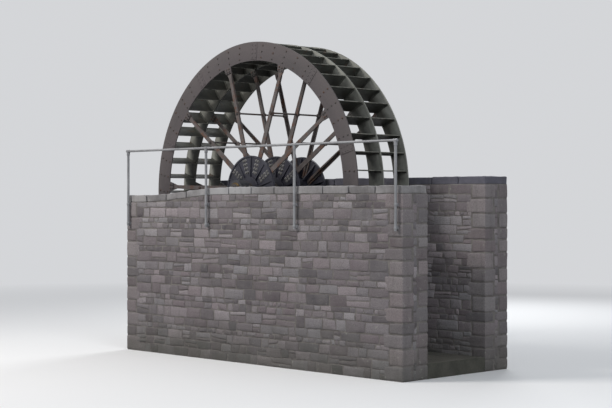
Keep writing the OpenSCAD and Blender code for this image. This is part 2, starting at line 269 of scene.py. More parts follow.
def make_rust():
    """Mask is where noise rises over an edge that falls as Amount grows. Color
    runs from dark brown to orange with finer noise, and Height is Mask times it."""
    tree, given = new_group("rust", Vector=None, Scale=5.0, Amount=0.4)
    patch = grain(tree, given["Vector"], given["Scale"], 8.0, 0.68)
    edge = minus(tree, 0.78, times(tree, given["Amount"], 0.56))
    mask = ramp(tree, patch, edge, plus(tree, edge, 0.10))
    fine = grain(tree, given["Vector"], times(tree, given["Scale"], 11.0), 5.0, 0.7)
    color = blend(tree, ramp(tree, fine, 0.38, 0.66), (0.050, 0.024, 0.016), (0.165, 0.066, 0.030))
    give(tree, Mask=mask, Color=color, Height=times(tree, mask, fine))


def make_runs():
    """Mask is noise pulled out along Z, cut off at an edge that falls as Amount
    grows. Stretch is how much slower it changes along Z than across."""
    tree, given = new_group("runs", Vector=None, Scale=6.0, Stretch=0.12, Amount=0.5)
    squeeze = put(tree, "CombineXYZ", None, X=1.0, Y=1.0, Z=given["Stretch"]).outputs[0]
    noise = grain(tree, vectors(tree, "MULTIPLY", given["Vector"], squeeze), given["Scale"], 5.0, 0.62)
    edge = minus(tree, 0.72, times(tree, given["Amount"], 0.42))
    give(tree, Mask=ramp(tree, noise, edge, plus(tree, edge, 0.22)))


for make in (make_mottle, make_rust, make_runs):
    make()
print("node groups:", ", ".join(GROUPS))

# %% [markdown]
# ### Two groups that know the wheel
#
# Deep between the rings the iron is painted near-black: painted shade, where the
# inside of the wheel lies in shade. Towards the rim the inner faces of the middle
# and far rings are painted pale, as painted light, and the rings' outer faces keep
# the near ring's tones. That could be painted on by hand, point by point. A
# formula is surer: the first group works out how far from the shaft a place lies,
# and the second which side of a ring's plate it is on.

# %% Make the groups that know the wheel
def make_about_shaft():
    """Turns a place on the wheel into Radius, and into Wrapped: the way round
    the rim, along the shaft, and out from it, all in metres."""
    tree, given = new_group("about_shaft", Vector=None)
    x, y, z = split(tree, vectors(tree, "SUBTRACT", given["Vector"], tuple(AXLE)))
    radius = sums(tree, "SQRT", plus(tree, times(tree, x, x), times(tree, z, z)))
    way = times(tree, sums(tree, "ARCTAN2", z, x), WHEEL_R)
    wrapped = put(tree, "CombineXYZ", None, X=way, Y=y, Z=radius).outputs[0]
    give(tree, Radius=radius, Wrapped=wrapped)


def make_painted_shade():
    """Mask is where shade is painted: 1 deep between the rings, and 0 on the outer
    faces and, with a ragged edge, from the given radius outwards. Outer is 1 on
    those faces."""
    tree, given = new_group("painted_shade", Vector=None, Radius=2.5, Wrapped=None, Dry=2.6)
    along = sums(tree, "ABSOLUTE", split(tree, given["Wrapped"])[1])
    plate_in, plate_out = FAR_IN - AXLE[1], FAR_OUT - AXLE[1]
    inside = ramp(tree, along, plate_in + 0.012, plate_in + 0.004)
    ragged = times(tree, minus(tree, grain(tree, given["Vector"], 5.0), 0.5), 0.22)
    deep = ramp(tree, plus(tree, given["Radius"], ragged),
                plus(tree, given["Dry"], 0.09), minus(tree, given["Dry"], 0.07))
    outer = ramp(tree, along, plate_out - 0.006, plate_out - 0.002)
    give(tree, Mask=times(tree, inside, deep), Outer=outer)


make_about_shaft()
make_painted_shade()
print("node groups:", ", ".join(GROUPS))

# %% [markdown]
# ## A material and its finish
#
# Every material here starts and ends alike. It starts with a Principled shader
# and Object coordinates, which stay with a piece when it turns. It ends with a
# colour, a height and often a roughness. The height goes through a Bump node,
# because pits and scale are too fine to be worth real geometry.

# %% Start and finish a material
PALETTE = {}


def new_material(name, **values):
    """A material with a Principled shader, its plain values set on its sockets.
    Gives back its tree, the shader and the Object coordinates."""
    PALETTE[name] = material = bpy.data.materials.new(name)
    material.use_nodes = True
    tree = material.node_tree
    tree.nodes.clear()
    shader = put(tree, "BsdfPrincipled", None, **values)
    put(tree, "OutputMaterial", None, Surface=shader.outputs[0])
    return tree, shader, put(tree, "TexCoord").outputs["Object"]


def paint(tree, shader, color, height, strength, distance, rough=None):
    """Feeds the shader a colour, a height through a Bump node that raises it by
    distance times strength, and a roughness where one is given."""
    bump = put(tree, "Bump", None, Strength=strength, Distance=distance, Height=height)
    feed(tree, shader.inputs["Base Color"], color)
    feed(tree, shader.inputs["Normal"], bump.outputs[0])
    if rough is not None:
        feed(tree, shader.inputs["Roughness"], rough)


made(new_material, paint)

# %% [markdown]
# ## Tint and damp
#
# No two stones of a wall are alike, and all of them darken towards the wet floor.
# A material for each tint would mean hundreds. So every stone carries one random
# number in its mesh, its tint, and the material reads that. The damp needs no
# number, because it follows the height.

# %% Read the tint and find the damp
def tint_of(tree):
    """The random number that a stone carries."""
    return put(tree, "Attribute", {"attribute_name": "tint"}).outputs["Fac"]


def damp_mask(tree, where, top):
    """How damp a place is: full well below the height top, none above it, with
    a ragged edge."""
    ragged = plus(tree, split(tree, where)[2], times(tree, grain(tree, where, 2.2), 1.1))
    return times(tree, ramp(tree, ragged, top + 0.9, top + 0.1), 0.62)


made(tint_of, damp_mask)

# %% [markdown]
# ### The stone of the walls
#
# The walls are coursed rubble in grey and pinkish stone, flecked and lichened,
# with dirt runs down their faces, and dark and green low down, where the pit is
# damp. Brick or block patterns from a texture would repeat, and have no depth.
# So the stones are real shapes, and the material only colours them.

# %% Make the stone of the walls
STONE_ROUGH = 0.9
WALL_STONES = {
    "rubble": ((0.082, 0.075, 0.083), (0.186, 0.172, 0.186), (0.338, 0.328, 0.344), 0.5),
    "quoin_stone": ((0.121, 0.112, 0.119), (0.188, 0.174, 0.182), (0.255, 0.242, 0.247), 0.4),
    "paving": ((0.055, 0.053, 0.045), (0.095, 0.090, 0.078), (0.15, 0.14, 0.12), 0.6)}


def make_wall_stone(name, dark, mid, light, damp):
    """Stone that takes its lightness and its warmth from tint, with mottle,
    flecks, runs, damp and lichen over it. The warmth follows tint's later
    digits, so that the two don't match."""
    tree, shader, where = new_material(name, Roughness=STONE_ROUGH)
    tint = tint_of(tree)
    base = blend(tree, ramp(tree, tint, 0.0, 0.5), dark, mid)
    base = blend(tree, ramp(tree, tint, 0.5, 1.0), base, light)
    warmth = sums(tree, "FRACT", times(tree, tint, 23.0))
    base = blend(tree, warmth, base, (1.09, 0.97, 0.975), "MULTIPLY")
    cloud = use(tree, "mottle", Vector=where, Scale=4.0, Contrast=1.0)["Fac"]
    base = cover(tree, base, (0.24, 0.225, 0.22), cloud, 0.40)
    fleck = grain(tree, where, 55.0, 6.0, 0.7)
    base = cover(tree, base, (0.06, 0.052, 0.052), ramp(tree, fleck, 0.48, 0.62), 0.42)
    runs = use(tree, "runs", Vector=where, Scale=5.0, Stretch=0.10, Amount=0.45)["Mask"]
    base = cover(tree, base, (0.085, 0.080, 0.078), runs, 0.40)
    damp_and_shade = damp_mask(tree, where, damp)
    base = blend(tree, damp_and_shade, base, (0.052, 0.056, 0.040))
    lichen = ramp(tree, grain(tree, where, 9.0, 7.0, 0.75), 0.60, 0.66)
    base = cover(tree, base, (0.34, 0.34, 0.30), lichen, 0.5)
    height = plus(tree, grain(tree, where, 22.0, 7.0, 0.7), times(tree, fleck, 0.5))
    paint(tree, shader, base, height, 0.55, 0.02, minus(tree, 0.93, times(tree, damp_and_shade, 0.3)))


for name, values in WALL_STONES.items():
    make_wall_stone(name, *values)
print("wall stones:", ", ".join(WALL_STONES))

# %% [markdown]
# ### Dressed stone and mortar
#
# Coping, bedstones and mortar are smoother than rubble and nearly one colour.
# They could share the rubble's recipe, but would look chipped. Theirs has two
# tones, dirt runs and spots. Where old lime has washed out beside the bearing,
# the coping is paler, and that patch is placed by the distance from the shaft.

# %% The plain stones
PLAIN_STONES = {
    "mortar": dict(dark=(0.105, 0.094, 0.090), light=(0.215, 0.200, 0.188), scale=3.0, bump=0.02,
                   stain=0.5),
    "pale_cement": dict(dark=(0.160, 0.152, 0.155), light=(0.310, 0.298, 0.300), scale=1.6, bump=0.012,
                        stain=0.35, apart=0.5, limed=0.8),
    "blue_flag": dict(dark=(0.067, 0.066, 0.084), light=(0.122, 0.119, 0.148), scale=2.2, bump=0.010,
                      stain=0.5, apart=0.35),
    "gritstone": dict(dark=(0.16, 0.145, 0.130), light=(0.27, 0.25, 0.225), scale=4.0, bump=0.012,
                      stain=0.6, apart=0.3),
    "pit_bed": dict(dark=(0.045, 0.045, 0.036), light=(0.085, 0.082, 0.068), scale=3.0, bump=0.02,
                    stain=0.3)}


def lime_mask(tree, where, reach):
    """1 along the wall up to about reach on both sides of the shaft, with a
    ragged edge."""
    beside = sums(tree, "ABSOLUTE", minus(tree, split(tree, where)[0], AXLE[0]))
    ragged = plus(tree, beside, times(tree, grain(tree, where, 3.0), 0.9))
    return ramp(tree, ragged, reach + 0.65, reach + 0.25)


def make_plain_stone(name, dark, light, scale, bump, stain, apart=0.0, limed=0.0):
    """Dressed stone or mortar: two colours mottled, with dirt runs and spots.
    apart is how much a block's tint sets it apart from the next one, and limed
    how far the pale lime reaches."""
    tree, shader, where = new_material(name, Roughness=STONE_ROUGH)
    cloud = use(tree, "mottle", Vector=where, Scale=scale, Contrast=1.3)["Fac"]
    if apart:
        cloud = plus(tree, cloud, times(tree, minus(tree, tint_of(tree), 0.5), apart), True)
    base = blend(tree, cloud, dark, light)
    if limed:
        base = cover(tree, base, (0.40, 0.40, 0.41), lime_mask(tree, where, limed), 0.7)
    runs = use(tree, "runs", Vector=where, Scale=scale * 2, Stretch=0.15, Amount=stain)["Mask"]
    base = cover(tree, base, (0.07, 0.068, 0.062), runs, 0.6)
    spots = ramp(tree, grain(tree, where, 14.0, 6.0, 0.75), 0.61, 0.66)
    base = cover(tree, base, (0.05, 0.05, 0.045), spots, 0.35)
    fine = grain(tree, where, 60.0, 7.0, 0.75)
    height = plus(tree, grain(tree, where, 11.0, 5.0, 0.6), times(tree, fine, 0.5))
    paint(tree, shader, base, height, 0.5, bump)


for name, values in PLAIN_STONES.items():
    make_plain_stone(name, **values)
print("plain stones:", ", ".join(PLAIN_STONES))

# %% [markdown]
# ## Painted highlights on the lips
#
# A float's two lips are painted pale against its dark rest: a painted highlight
# where light catches their edges. The edge could be found from the mesh's own
# curvature, but the exported model would lose that. The lips lie at two known
# distances from the shaft, so the mask is made from the radius.

# %% Find the lips of the floats
INNER_LIP = 0.018, 0.010
OUTER_LIP = 0.030, 0.022


def lip_highlight_mask(tree, where, radius):
    """Where the lips' highlight is painted: 1, but for some patches, on the two lips
    of a float, where radius is close to the ring's inner edge or to its outer one."""
    inner = ramp(tree, radius, INNER_R + INNER_LIP[0], INNER_R + INNER_LIP[1])
    outer = ramp(tree, radius, WHEEL_R - OUTER_LIP[0], WHEEL_R - OUTER_LIP[1])
    patches = ramp(tree, grain(tree, where, 8.0), 0.36, 0.56)
    return times(tree, sums(tree, "MAXIMUM", inner, outer), patches)


made(lip_highlight_mask)

# %% [markdown]
# ## Iron
#
# The rings are flat plates that the weather has turned an even grey-brown. The
# floats are thinner, greyer, and green where water stays. The arms are rubbed
# and rusty, and the hubs are painted near-black blue-grey, which is painted shade.
# Ten separate materials would drift apart as they are tuned. One recipe makes
# them all: two tones, rust from the rust group, and what follows the wheel's own
# radius: a washed band by the rim, painted shade deep between the rings and a
# painted highlight on the floats' lips.

# %% The recipe for iron
RIM_BAND = 0.30
RIM_COLOR = (0.150, 0.135, 0.128)
SLIME_COLOR = (0.040, 0.055, 0.024)
DUST_COLOR = (0.20, 0.19, 0.18)
# The pale colour of the floats' lips is a painted highlight.
LIP_HIGHLIGHT_COLOR = (0.235, 0.232, 0.200)
# Near-black tones of the painted shade deep between the rings.
PAINTED_SHADE_TONES = (0.010, 0.011, 0.008), (0.026, 0.024, 0.018)


def make_iron(name, tones, rust, scale, green=0.0, metal=0.0, rough=0.68, rim=0.0, dust=0.22,
              unshaded_band=0.0, lip_highlight=0.0, outside=None):
    """Weathered iron in two tones. rust, green and dust are shares of the
    surface, and rim draws a paler washed band towards the wheel's outer edge.
    Deep between the rings it is painted near-black, as painted shade, but for a
    band of the given width along the rim, and a last share paints the lips of a
    float pale, as a painted highlight. outside is the tones of the outer faces."""
    tree, shader, where = new_material(name, Metallic=metal)
    about = use(tree, "about_shaft", Vector=where)
    radius = about["Radius"]
    wide = vectors(tree, "MULTIPLY", about["Wrapped"], (0.35, 1.0, 1.0))
    cloud = use(tree, "mottle", Vector=wide, Scale=scale, Contrast=1.2)["Fac"]
    base = blend(tree, cloud, *tones)
    # Where shade is painted deep between the rings, and where the outer faces are.
    if unshaded_band:
        damp_and_shade = use(tree, "painted_shade", Vector=where, Radius=radius, Wrapped=about["Wrapped"],
                  Dry=WHEEL_R - unshaded_band)
    if outside:
        base = blend(tree, damp_and_shade["Outer"], base, blend(tree, cloud, *outside))
    scale_rust = use(tree, "rust", Vector=where, Scale=scale * 2.2, Amount=rust)
    base = cover(tree, base, scale_rust["Color"], scale_rust["Mask"], 0.75)
    if rim:
        base = cover(tree, base, RIM_COLOR, ramp(tree, radius, WHEEL_R - RIM_BAND, WHEEL_R), rim)
    if green:
        slime = ramp(tree, grain(tree, where, 3.1, 6.0, 0.7), 0.66 - green * 0.3, 0.74)
        base = cover(tree, base, SLIME_COLOR, slime, 0.6)
    fine = grain(tree, where, 38.0, 7.0, 0.7)
    base = cover(tree, base, DUST_COLOR, ramp(tree, fine, 0.52, 0.70), dust)
    # Painted shade: near-black deep between the rings, but not along the rim.
    if unshaded_band:
        painted_shade_color = blend(tree, ramp(tree, cloud, 0.35, 0.75), *PAINTED_SHADE_TONES)
        base = cover(tree, base, painted_shade_color, damp_and_shade["Mask"], 0.92)
    # Painted highlight: the floats' lips made pale.
    if lip_highlight:
        base = cover(tree, base, LIP_HIGHLIGHT_COLOR, lip_highlight_mask(tree, where, radius), lip_highlight)
    dull = plus(tree, rough - 0.10, times(tree, cloud, 0.16))
    dull = plus(tree, dull, times(tree, scale_rust["Mask"], 0.14), True)
    height = plus(tree, times(tree, fine, 0.5), scale_rust["Height"])
    paint(tree, shader, base, height, 0.45, 0.004, dull)


made(make_iron)

# %% [markdown]
# ### The irons and the brass
#
# Each kind of iron is now one row of values: its two tones, how much of it is
# rusty, and how big the clouds are. The inner faces of the middle and far rings
# are painted paler and greener than their outer ones, as painted light, and the
# outer faces share the near ring's tones. Brass needs none of this, only a mottle
# of bright metal and brown grease.

# %% Make the irons and the brass
RING_TONES = (0.046, 0.039, 0.041), (0.085, 0.071, 0.074)
IRONS = {
    "ring_iron": dict(tones=RING_TONES, rust=0.22, scale=1.6, rim=0.20, rough=0.76, dust=0.16),
    # Inner faces of the middle and far rings: pale tones as painted light, near-black deep between the
    # rings as painted shade.
    "bucket_ring": dict(tones=((0.135, 0.137, 0.120), (0.300, 0.302, 0.270)), rust=0.22, scale=2.6,
                        green=0.15, unshaded_band=0.165, outside=RING_TONES),
    # Floats: near-black deep between the rings as painted shade, and pale lips as a painted highlight.
    "float_iron": dict(tones=((0.026, 0.028, 0.024), (0.080, 0.083, 0.071)), rust=0.38, scale=3.2,
                       green=0.35, dust=0.14, unshaded_band=0.19, lip_highlight=0.75),
    "arm_iron": dict(tones=((0.048, 0.037, 0.035), (0.112, 0.097, 0.093)), rust=0.50, scale=3.0, dust=0.16),
    # The hubs' near-black blue-grey is painted shade.
    "hub_iron": dict(tones=((0.011, 0.011, 0.019), (0.028, 0.028, 0.043)), rust=0.20, scale=4.0,
                     rough=0.55, dust=0.10),
    "bearing_iron": dict(tones=((0.022, 0.023, 0.028), (0.048, 0.048, 0.054)), rust=0.30, scale=5.0,
                         rough=0.55, dust=0.12),
    "shaft_iron": dict(tones=((0.028, 0.024, 0.022), (0.066, 0.058, 0.054)), rust=0.35, scale=4.0,
                       rough=0.55),
    # Pale bolt heads for the hubs: a painted highlight.
    "highlight_bolt": dict(tones=((0.090, 0.088, 0.086), (0.210, 0.204, 0.200)), rust=0.35, scale=9.0),
    "bolt_iron": dict(tones=((0.036, 0.032, 0.031), (0.082, 0.072, 0.069)), rust=0.50, scale=9.0),
    "galvanised": dict(tones=((0.195, 0.197, 0.207), (0.310, 0.313, 0.325)), rust=0.12, scale=6.0,
                       metal=0.2, rough=0.55)}
for name, values in IRONS.items():
    make_iron(name, **values)

tree, shader, where = new_material("brass", Metallic=0.8, Roughness=0.38)
cloud = use(tree, "mottle", Vector=where, Scale=9.0, Contrast=1.4)["Fac"]
brass = blend(tree, cloud, (0.10, 0.064, 0.030), (0.30, 0.205, 0.085))
paint(tree, shader, brass, grain(tree, where, 90.0), 0.2, 0.002)
print("materials:", ", ".join(PALETTE))

# %% [markdown]
# ## Copies of the ready-made castings
#
# The castings come ready made, as loose triangles with sharp edges. They could be
# modelled again, but their shapes are right already. So a copy of each is merged
# and its flat faces are joined up again, which gives a mesh that modifiers can
# work on. The original isn't touched.

# %% Copy a ready-made piece
MERGE_GAP = 1e-5
FLAT_ANGLE = math.radians(0.6)
SHARP_ANGLE = math.radians(35)


def add_object(name, data):
    """A new object at the origin, in the scene."""
    piece = bpy.data.objects.new(name, data)
    bpy.context.scene.collection.objects.link(piece)
    return piece


def coat(mesh, finish):
    """Gives a mesh its one finish, and smooth shading between its sharp edges."""
    mesh.materials.clear()
    mesh.materials.append(PALETTE[finish])
    mesh.shade_smooth()
    mesh.set_sharp_from_angle(angle=SHARP_ANGLE)


def merged_mesh(node):
    """A new mesh: the node's triangles merged, flat faces dissolved."""
    work = bmesh.new()
    work.from_mesh(nodes[node].data)
    bmesh.ops.remove_doubles(work, verts=work.verts, dist=MERGE_GAP)
    bmesh.ops.dissolve_limit(work, angle_limit=FLAT_ANGLE, verts=work.verts, edges=work.edges)
    mesh = bpy.data.meshes.new(node + "_dressed")
    work.to_mesh(mesh)
    work.free()
    return mesh


made(add_object, coat, merged_mesh)

# %% [markdown]
# ### Round edges
#
# A cast edge is never sharp, and a sharp mathematical one catches no light. A
# shader can fake a round edge, but not on the outline. A live Bevel modifier
# rounds every hard edge of the copy, and a Weighted Normal modifier gives the big
# flat faces the say over the shading. The copy then stands for the original,
# which stays in the frame for the motion.

# %% Bevel a copy
HARD_ANGLE = math.radians(40)
FLAT_WEIGHT = 50


def dress(node, finish, body, slot, bevel, fine_gaps=False):
    """Puts a bevelled copy in the place of a node. The bevel keeps to the room
    there is, but not on a node with hair-thin gaps, where that would be none."""
    copy = add_object(node + "_dressed", merged_mesh(node))
    coat(copy.data, finish)
    round_off = copy.modifiers.new("rounded edges", "BEVEL")
    round_off.width = bevel
    round_off.segments = 2
    round_off.limit_method = "ANGLE"
    round_off.angle_limit = HARD_ANGLE
    round_off.use_clamp_overlap = not fine_gaps
    flat = copy.modifiers.new("flat faces", "WEIGHTED_NORMAL")
    flat.mode = "FACE_AREA"
    flat.weight = FLAT_WEIGHT
    flat.keep_sharp = True
    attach(copy, body)
    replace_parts(copy, node)


made(dress)

# %% [markdown]
# ### Which piece gets what
#
# The wheel has three of each casting and the pit two, so loops dress them. Some
# pieces are right as they come: the ready-made walls show only as mortar between
# the stones, and a turned shaft or a pipe has no hard edge to round. They keep
# their mesh and get a material and nothing else.

# %% Dress the castings and repaint the rest
HUB_BEVEL, ARM_BEVEL, RING_BEVEL, BEARING_BEVEL = 0.006, 0.004, 0.0025, 0.006
RINGS = {"near": "ring_iron", "middle": "bucket_ring", "far": "bucket_ring"}
KEPT = {"front_wall": "mortar", "back_wall": "mortar", "pit_floor": "pit_bed", "shaft": "shaft_iron",
        "bearing_brasses": "brass", "tie_rods": "bolt_iron", "guard_posts": "galvanised",
        "guard_rail": "galvanised"}

for ring in RINGS:
    dress("hub_" + ring, "hub_iron", "wheel", "hub_iron", HUB_BEVEL)
for ring in RINGS:
    dress("arms_" + ring, "arm_iron", "wheel", "arm_iron", ARM_BEVEL)
for ring, finish in RINGS.items():
    dress("shroud_" + ring, finish, "wheel", "shroud_iron", RING_BEVEL, True)
for casting in ("pedestal_front", "pedestal_back", "cap_front", "cap_back"):
    dress(casting, "bearing_iron", "pit", "bearing_iron", BEARING_BEVEL)
for node, finish in KEPT.items():
    nodes[node].data.materials.clear()
    nodes[node].data.materials.append(PALETTE[finish])
print("repainted", len(KEPT), "pieces that keep their mesh")

# %% [markdown]
# ## Making a mesh from whole arrays
#
# A mesh can be filled from plain arrays: all points, then the corners of all
# faces, one after the other. Points could also be added one by one, but arrays
# are far quicker, and a hundred floats can be worked out in one line. A face
# array has one row a face, so quads and wider faces are given as separate arrays.
# A shape is a pair here: its points, and the list of its face arrays.

# %% A piece from a shape
def surface(name, shape, finish, body, slot, tint=None):
    """A piece from a shape: its points, (n, 3), and a list of faces, (m, corners)
    each. tint is one number a point, which the piece's material may read."""
    points, faces = np.asarray(shape[0], np.float32).reshape(-1, 3), shape[1]
    sizes = np.concatenate([np.full(len(f), f.shape[1]) for f in faces])
    corners = np.concatenate([f.ravel() for f in faces]).astype(np.int32)
    mesh = bpy.data.meshes.new(name)
    mesh.vertices.add(len(points))
    mesh.vertices.foreach_set("co", points.ravel())
    mesh.loops.add(len(corners))
    mesh.loops.foreach_set("vertex_index", corners)
    mesh.polygons.add(len(sizes))
    mesh.polygons.foreach_set("loop_start", (np.cumsum(sizes) - sizes).astype(np.int32))
    mesh.update(calc_edges=True)
    if tint is not None:
        mesh.attributes.new("tint", "FLOAT", "POINT").data.foreach_set("value", tint.astype(np.float32))
    coat(mesh, finish)
    piece = add_object(name, mesh)
    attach(piece, body)
    mesh.calc_loop_triangles()
    print(name, len(mesh.loop_triangles), "triangles")
    return piece


made(surface)

# %% [markdown]
# ### Faces of grids and tubes
#
# Nearly every surface here is a grid: a float's plate, a stone's face, the side
# of a bolt. Its quads could be listed by hand for each, but they follow from how
# many rows and columns it has. A tube is a grid that closes on itself, with a
# cap at both ends.

# %% Number the faces
def grid_quads(rows, cols, closed=False):
    """Quads of a grid whose points are numbered row by row. closed also joins
    the last point of each row to its first."""
    i, j = np.meshgrid(np.arange(rows - 1), np.arange(cols if closed else cols - 1), indexing="ij")
    after = (j + 1) % cols
    return np.stack([i * cols + j, i * cols + after, (i + 1) * cols + after, (i + 1) * cols + j],
                    -1).reshape(-1, 4)


def tube_faces(rings, sides):
    """Faces of a tube: quads from ring to ring, and a flat cap at both ends."""
    last = (rings - 1) * sides
    caps = [np.arange(sides)[None, ::-1], np.arange(last, last + sides)[None]]
    return [grid_quads(rings, sides, True)] + caps


def each_copy(faces, count, size):
    """The faces of one shape again for count copies of its size points."""
    shift = np.arange(count)[:, None, None] * size
    return [(f[None] + shift).reshape(-1, f.shape[1]) for f in faces]


made(grid_quads, tube_faces, each_copy)

# %% [markdown]
# ### Turned shapes and their copies
#
# Most small iron is turned, and repeated many times. A Screw modifier could turn
# a profile and an Array repeat it, but then each row of bolts would be an object.
# Here the points of one bolt are moved to every place at once, and all the bolts
# of one kind are one mesh.

# %% Turn, repeat and join shapes
def repeat(shape, origins, side, up, out):
    """Copies of a small shape, one for each row of origins: its point (x, y, z)
    goes to origin + x*side + y*up + z*out."""
    points, faces = shape
    placed = origins[:, None] + points[:, 0:1] * side + points[:, 1:2] * up + points[:, 2:3] * out
    return placed.reshape(-1, 3), each_copy(faces, len(origins), len(points))


def join(*shapes):
    """One shape from several: each one's corner numbers move up by the points
    that come before it."""
    before = np.cumsum([0] + [len(points) for points, _ in shapes])
    faces = [f + shift for (_, fs), shift in zip(shapes, before) for f in fs]
    return np.concatenate([points for points, _ in shapes]), faces


def turned(sides, radii, heights):
    """A turned shape on +Z: ring i is a polygon of radii[i] at heights[i], each
    ring joined to the next by quads, with a flat cap at both ends."""
    angle = np.arange(sides) * 2 * math.pi / sides
    radii, heights = np.array(radii)[:, None], np.array(heights)[:, None]
    points = np.stack(np.broadcast_arrays(np.cos(angle) * radii, np.sin(angle) * radii, heights), -1)
    return points.reshape(-1, 3), tube_faces(len(radii), sides)


made(repeat, join, turned)

# %% [markdown]
# ### Places on the wheel, and a little unevenness
#
# Everything on the wheel is placed by an angle, a distance out from the shaft
# and a distance aside from that line, so one formula serves floats and bolts.
# The second formula spoils things a little. A dent or a worn face is a smooth
# change from place to place, and a few sine waves in random directions give that
# without a noise library.

# %% Places on the wheel, and smooth noise
WAVES = 6
WAVE_SPREAD = 0.7, 1.5
WAVE_REACH = 3.2


def on_wheel(out, aside, theta, y):
    """Places on the wheel: out from the shaft at the angle theta, aside from that
    line clockwise, and at y along the shaft. x is the axle's plus out*cos(theta)
    + aside*sin(theta), and z is the axle's plus out*sin(theta)
    - aside*cos(theta)."""
    x = AXLE[0] + out * np.cos(theta) + aside * np.sin(theta)
    z = AXLE[2] + out * np.sin(theta) - aside * np.cos(theta)
    return np.stack(np.broadcast_arrays(x, y, z), -1)


def wobble(points, size, seed):
    """Smooth noise from about -1 to 1: the sum, scaled down, of six sine waves
    that run in random directions, with wavelengths around size."""
    rng = np.random.default_rng(seed)
    total = np.zeros(points.shape[:-1])
    for _ in range(WAVES):
        way = rng.normal(size=3)
        way *= 2 * math.pi / (size * rng.uniform(*WAVE_SPREAD)) / np.linalg.norm(way)
        total += np.sin(points @ way + rng.uniform(0, 2 * math.pi))
    return total / WAVE_REACH


X_WAY, Y_WAY, Z_WAY = np.eye(3)
made(on_wheel, wobble)

# %% [markdown]
# ## The floats
#
# A float is a plate that was rolled to part of a cylinder, with a flange turned
# at each end for its bolts. It leaves the rings' inner edge straight outwards and
# bends clockwise to the rim. The arc's sweep isn't guessed: it is where the arc
# crosses the circle that the lips lie on.

# %% Measure a float
FLOAT_N = 52
FLOAT_PHASE = math.radians(0.9)
FLOAT_PITCH = 2 * math.pi / FLOAT_N
FLOAT_CURVE = 1.200
FLOAT_T = 0.008
FLOAT_FLANGE = 0.036
FLOAT_INSET = 0.005
FLOAT_STEP = 0.006
LIP_BEAD_R = 0.009

float_r0 = INNER_R + FLOAT_INSET
float_r1 = WHEEL_R - FLOAT_STEP - LIP_BEAD_R
float_sweep = (math.atan2(FLOAT_CURVE, float_r0)
               + math.asin((float_r1 ** 2 - float_r0 ** 2 - 2 * FLOAT_CURVE ** 2)
                           / (2 * FLOAT_CURVE * math.hypot(float_r0, FLOAT_CURVE))))
float_angles = FLOAT_PHASE + np.arange(FLOAT_N) * FLOAT_PITCH
print("a float sweeps", round(math.degrees(float_sweep), 1), "degrees of its arc")

# %% [markdown]
# ### The section of a float
#
# Cut across, a float is a shallow channel: a web, and at each end a flange that
# is bolted to a ring. A plane with a Solidify modifier would do for the web, but
# not for the flanges. So the section is an outline of its own, with steps along
# the web, where the dents will bend it.

# %% Draw the section
FLOAT_CORNER = 0.004
WEB_STEPS = 7


def channel_section(y0, y1):
    """The closed outline of a float's section: distance from the centre of its
    curve, and place along the shaft. The web has steps for its dents."""
    outer = FLOAT_CURVE + FLOAT_T / 2
    inner = FLOAT_CURVE - FLOAT_T / 2
    tip = FLOAT_CURVE - FLOAT_FLANGE
    edge = outer - FLOAT_CORNER
    web_out = np.linspace(y0 + FLOAT_CORNER, y1 - FLOAT_CORNER, WEB_STEPS)
    web_in = np.linspace(y1 - FLOAT_T, y0 + FLOAT_T, WEB_STEPS)
    rho = np.concatenate([[edge], np.full(WEB_STEPS, outer), [edge, tip, tip],
                          np.full(WEB_STEPS, inner), [tip, tip]])
    y = np.concatenate([[y0], web_out, [y1, y1, y1 - FLOAT_T], web_in, [y0 + FLOAT_T, y0]])
    return rho, y


made(channel_section)

# %% [markdown]
# ### Rolling the plates
#
# The way round the arc is one parameter and the way round the section is the
# other, so one grid makes the whole plate. A Curve could carry the section along
# the arc too, but without dents. All the floats of a bay are computed at once,
# each with a slightly different set and a few dents, so that the light catches
# each of them in another way.

# %% Roll the plates of a bay
FLOAT_STEPS = 15
DENT = 0.005
DENT_SIZE = 0.35
DENT_ALONG = 0.4
DENT_APART = 7.0
DENT_RISE = 1.4
SAG = -0.006, 0.004


def float_plates(y0, y1, seed):
    """All channels of a bay. A point at the angle psi of the arc, and rho from
    its centre, lies at radius float_r0 + rho*sin(psi) outwards and at
    FLOAT_CURVE - rho*cos(psi) clockwise from the float's inner edge. Dents, and
    a sag that grows as psi squared, push it along rho, most in mid span."""
    rho, y = channel_section(y0, y1)
    psi = np.linspace(0, float_sweep, FLOAT_STEPS)[None, :, None]
    number = np.arange(FLOAT_N)[:, None, None]
    out = float_r0 + rho * np.sin(psi) + 0 * number
    clock = FLOAT_CURVE - rho * np.cos(psi)
    along = y + 0 * out
    middle = 1 - ((along - (y0 + y1) / 2) / ((y1 - y0) / 2)) ** 2
    spots = np.stack([along, psi * DENT_ALONG + DENT_APART * number + 0 * out, 0 * out], -1)
    dent = wobble(spots, DENT_SIZE, seed) * DENT * middle * np.sin(psi / float_sweep * DENT_RISE)
    own_sag = np.random.default_rng(seed).uniform(*SAG, (FLOAT_N, 1, 1))
    push = dent + own_sag * middle * (psi / float_sweep) ** 2
    points = on_wheel(out + push * np.sin(psi), clock - push * np.cos(psi),
                      float_angles[:, None, None], along)
    faces = each_copy(tube_faces(FLOAT_STEPS, len(rho)), FLOAT_N, FLOAT_STEPS * len(rho))
    return points.reshape(-1, 3), faces


made(float_plates)

# %% [markdown]
# ### Lips and bays
#
# The lip that meets the water is stiffened with a bead. On the real plate it is
# rolled over. A round bar along the lip looks the same from outside and needs
# only a few faces. Plates and beads of a bay are one piece, which stands for the
# four nodes that hold its floats in the construction.

# %% Build both bays
FLOAT_GROUPS = 4
BEAD_TIP = 0.004


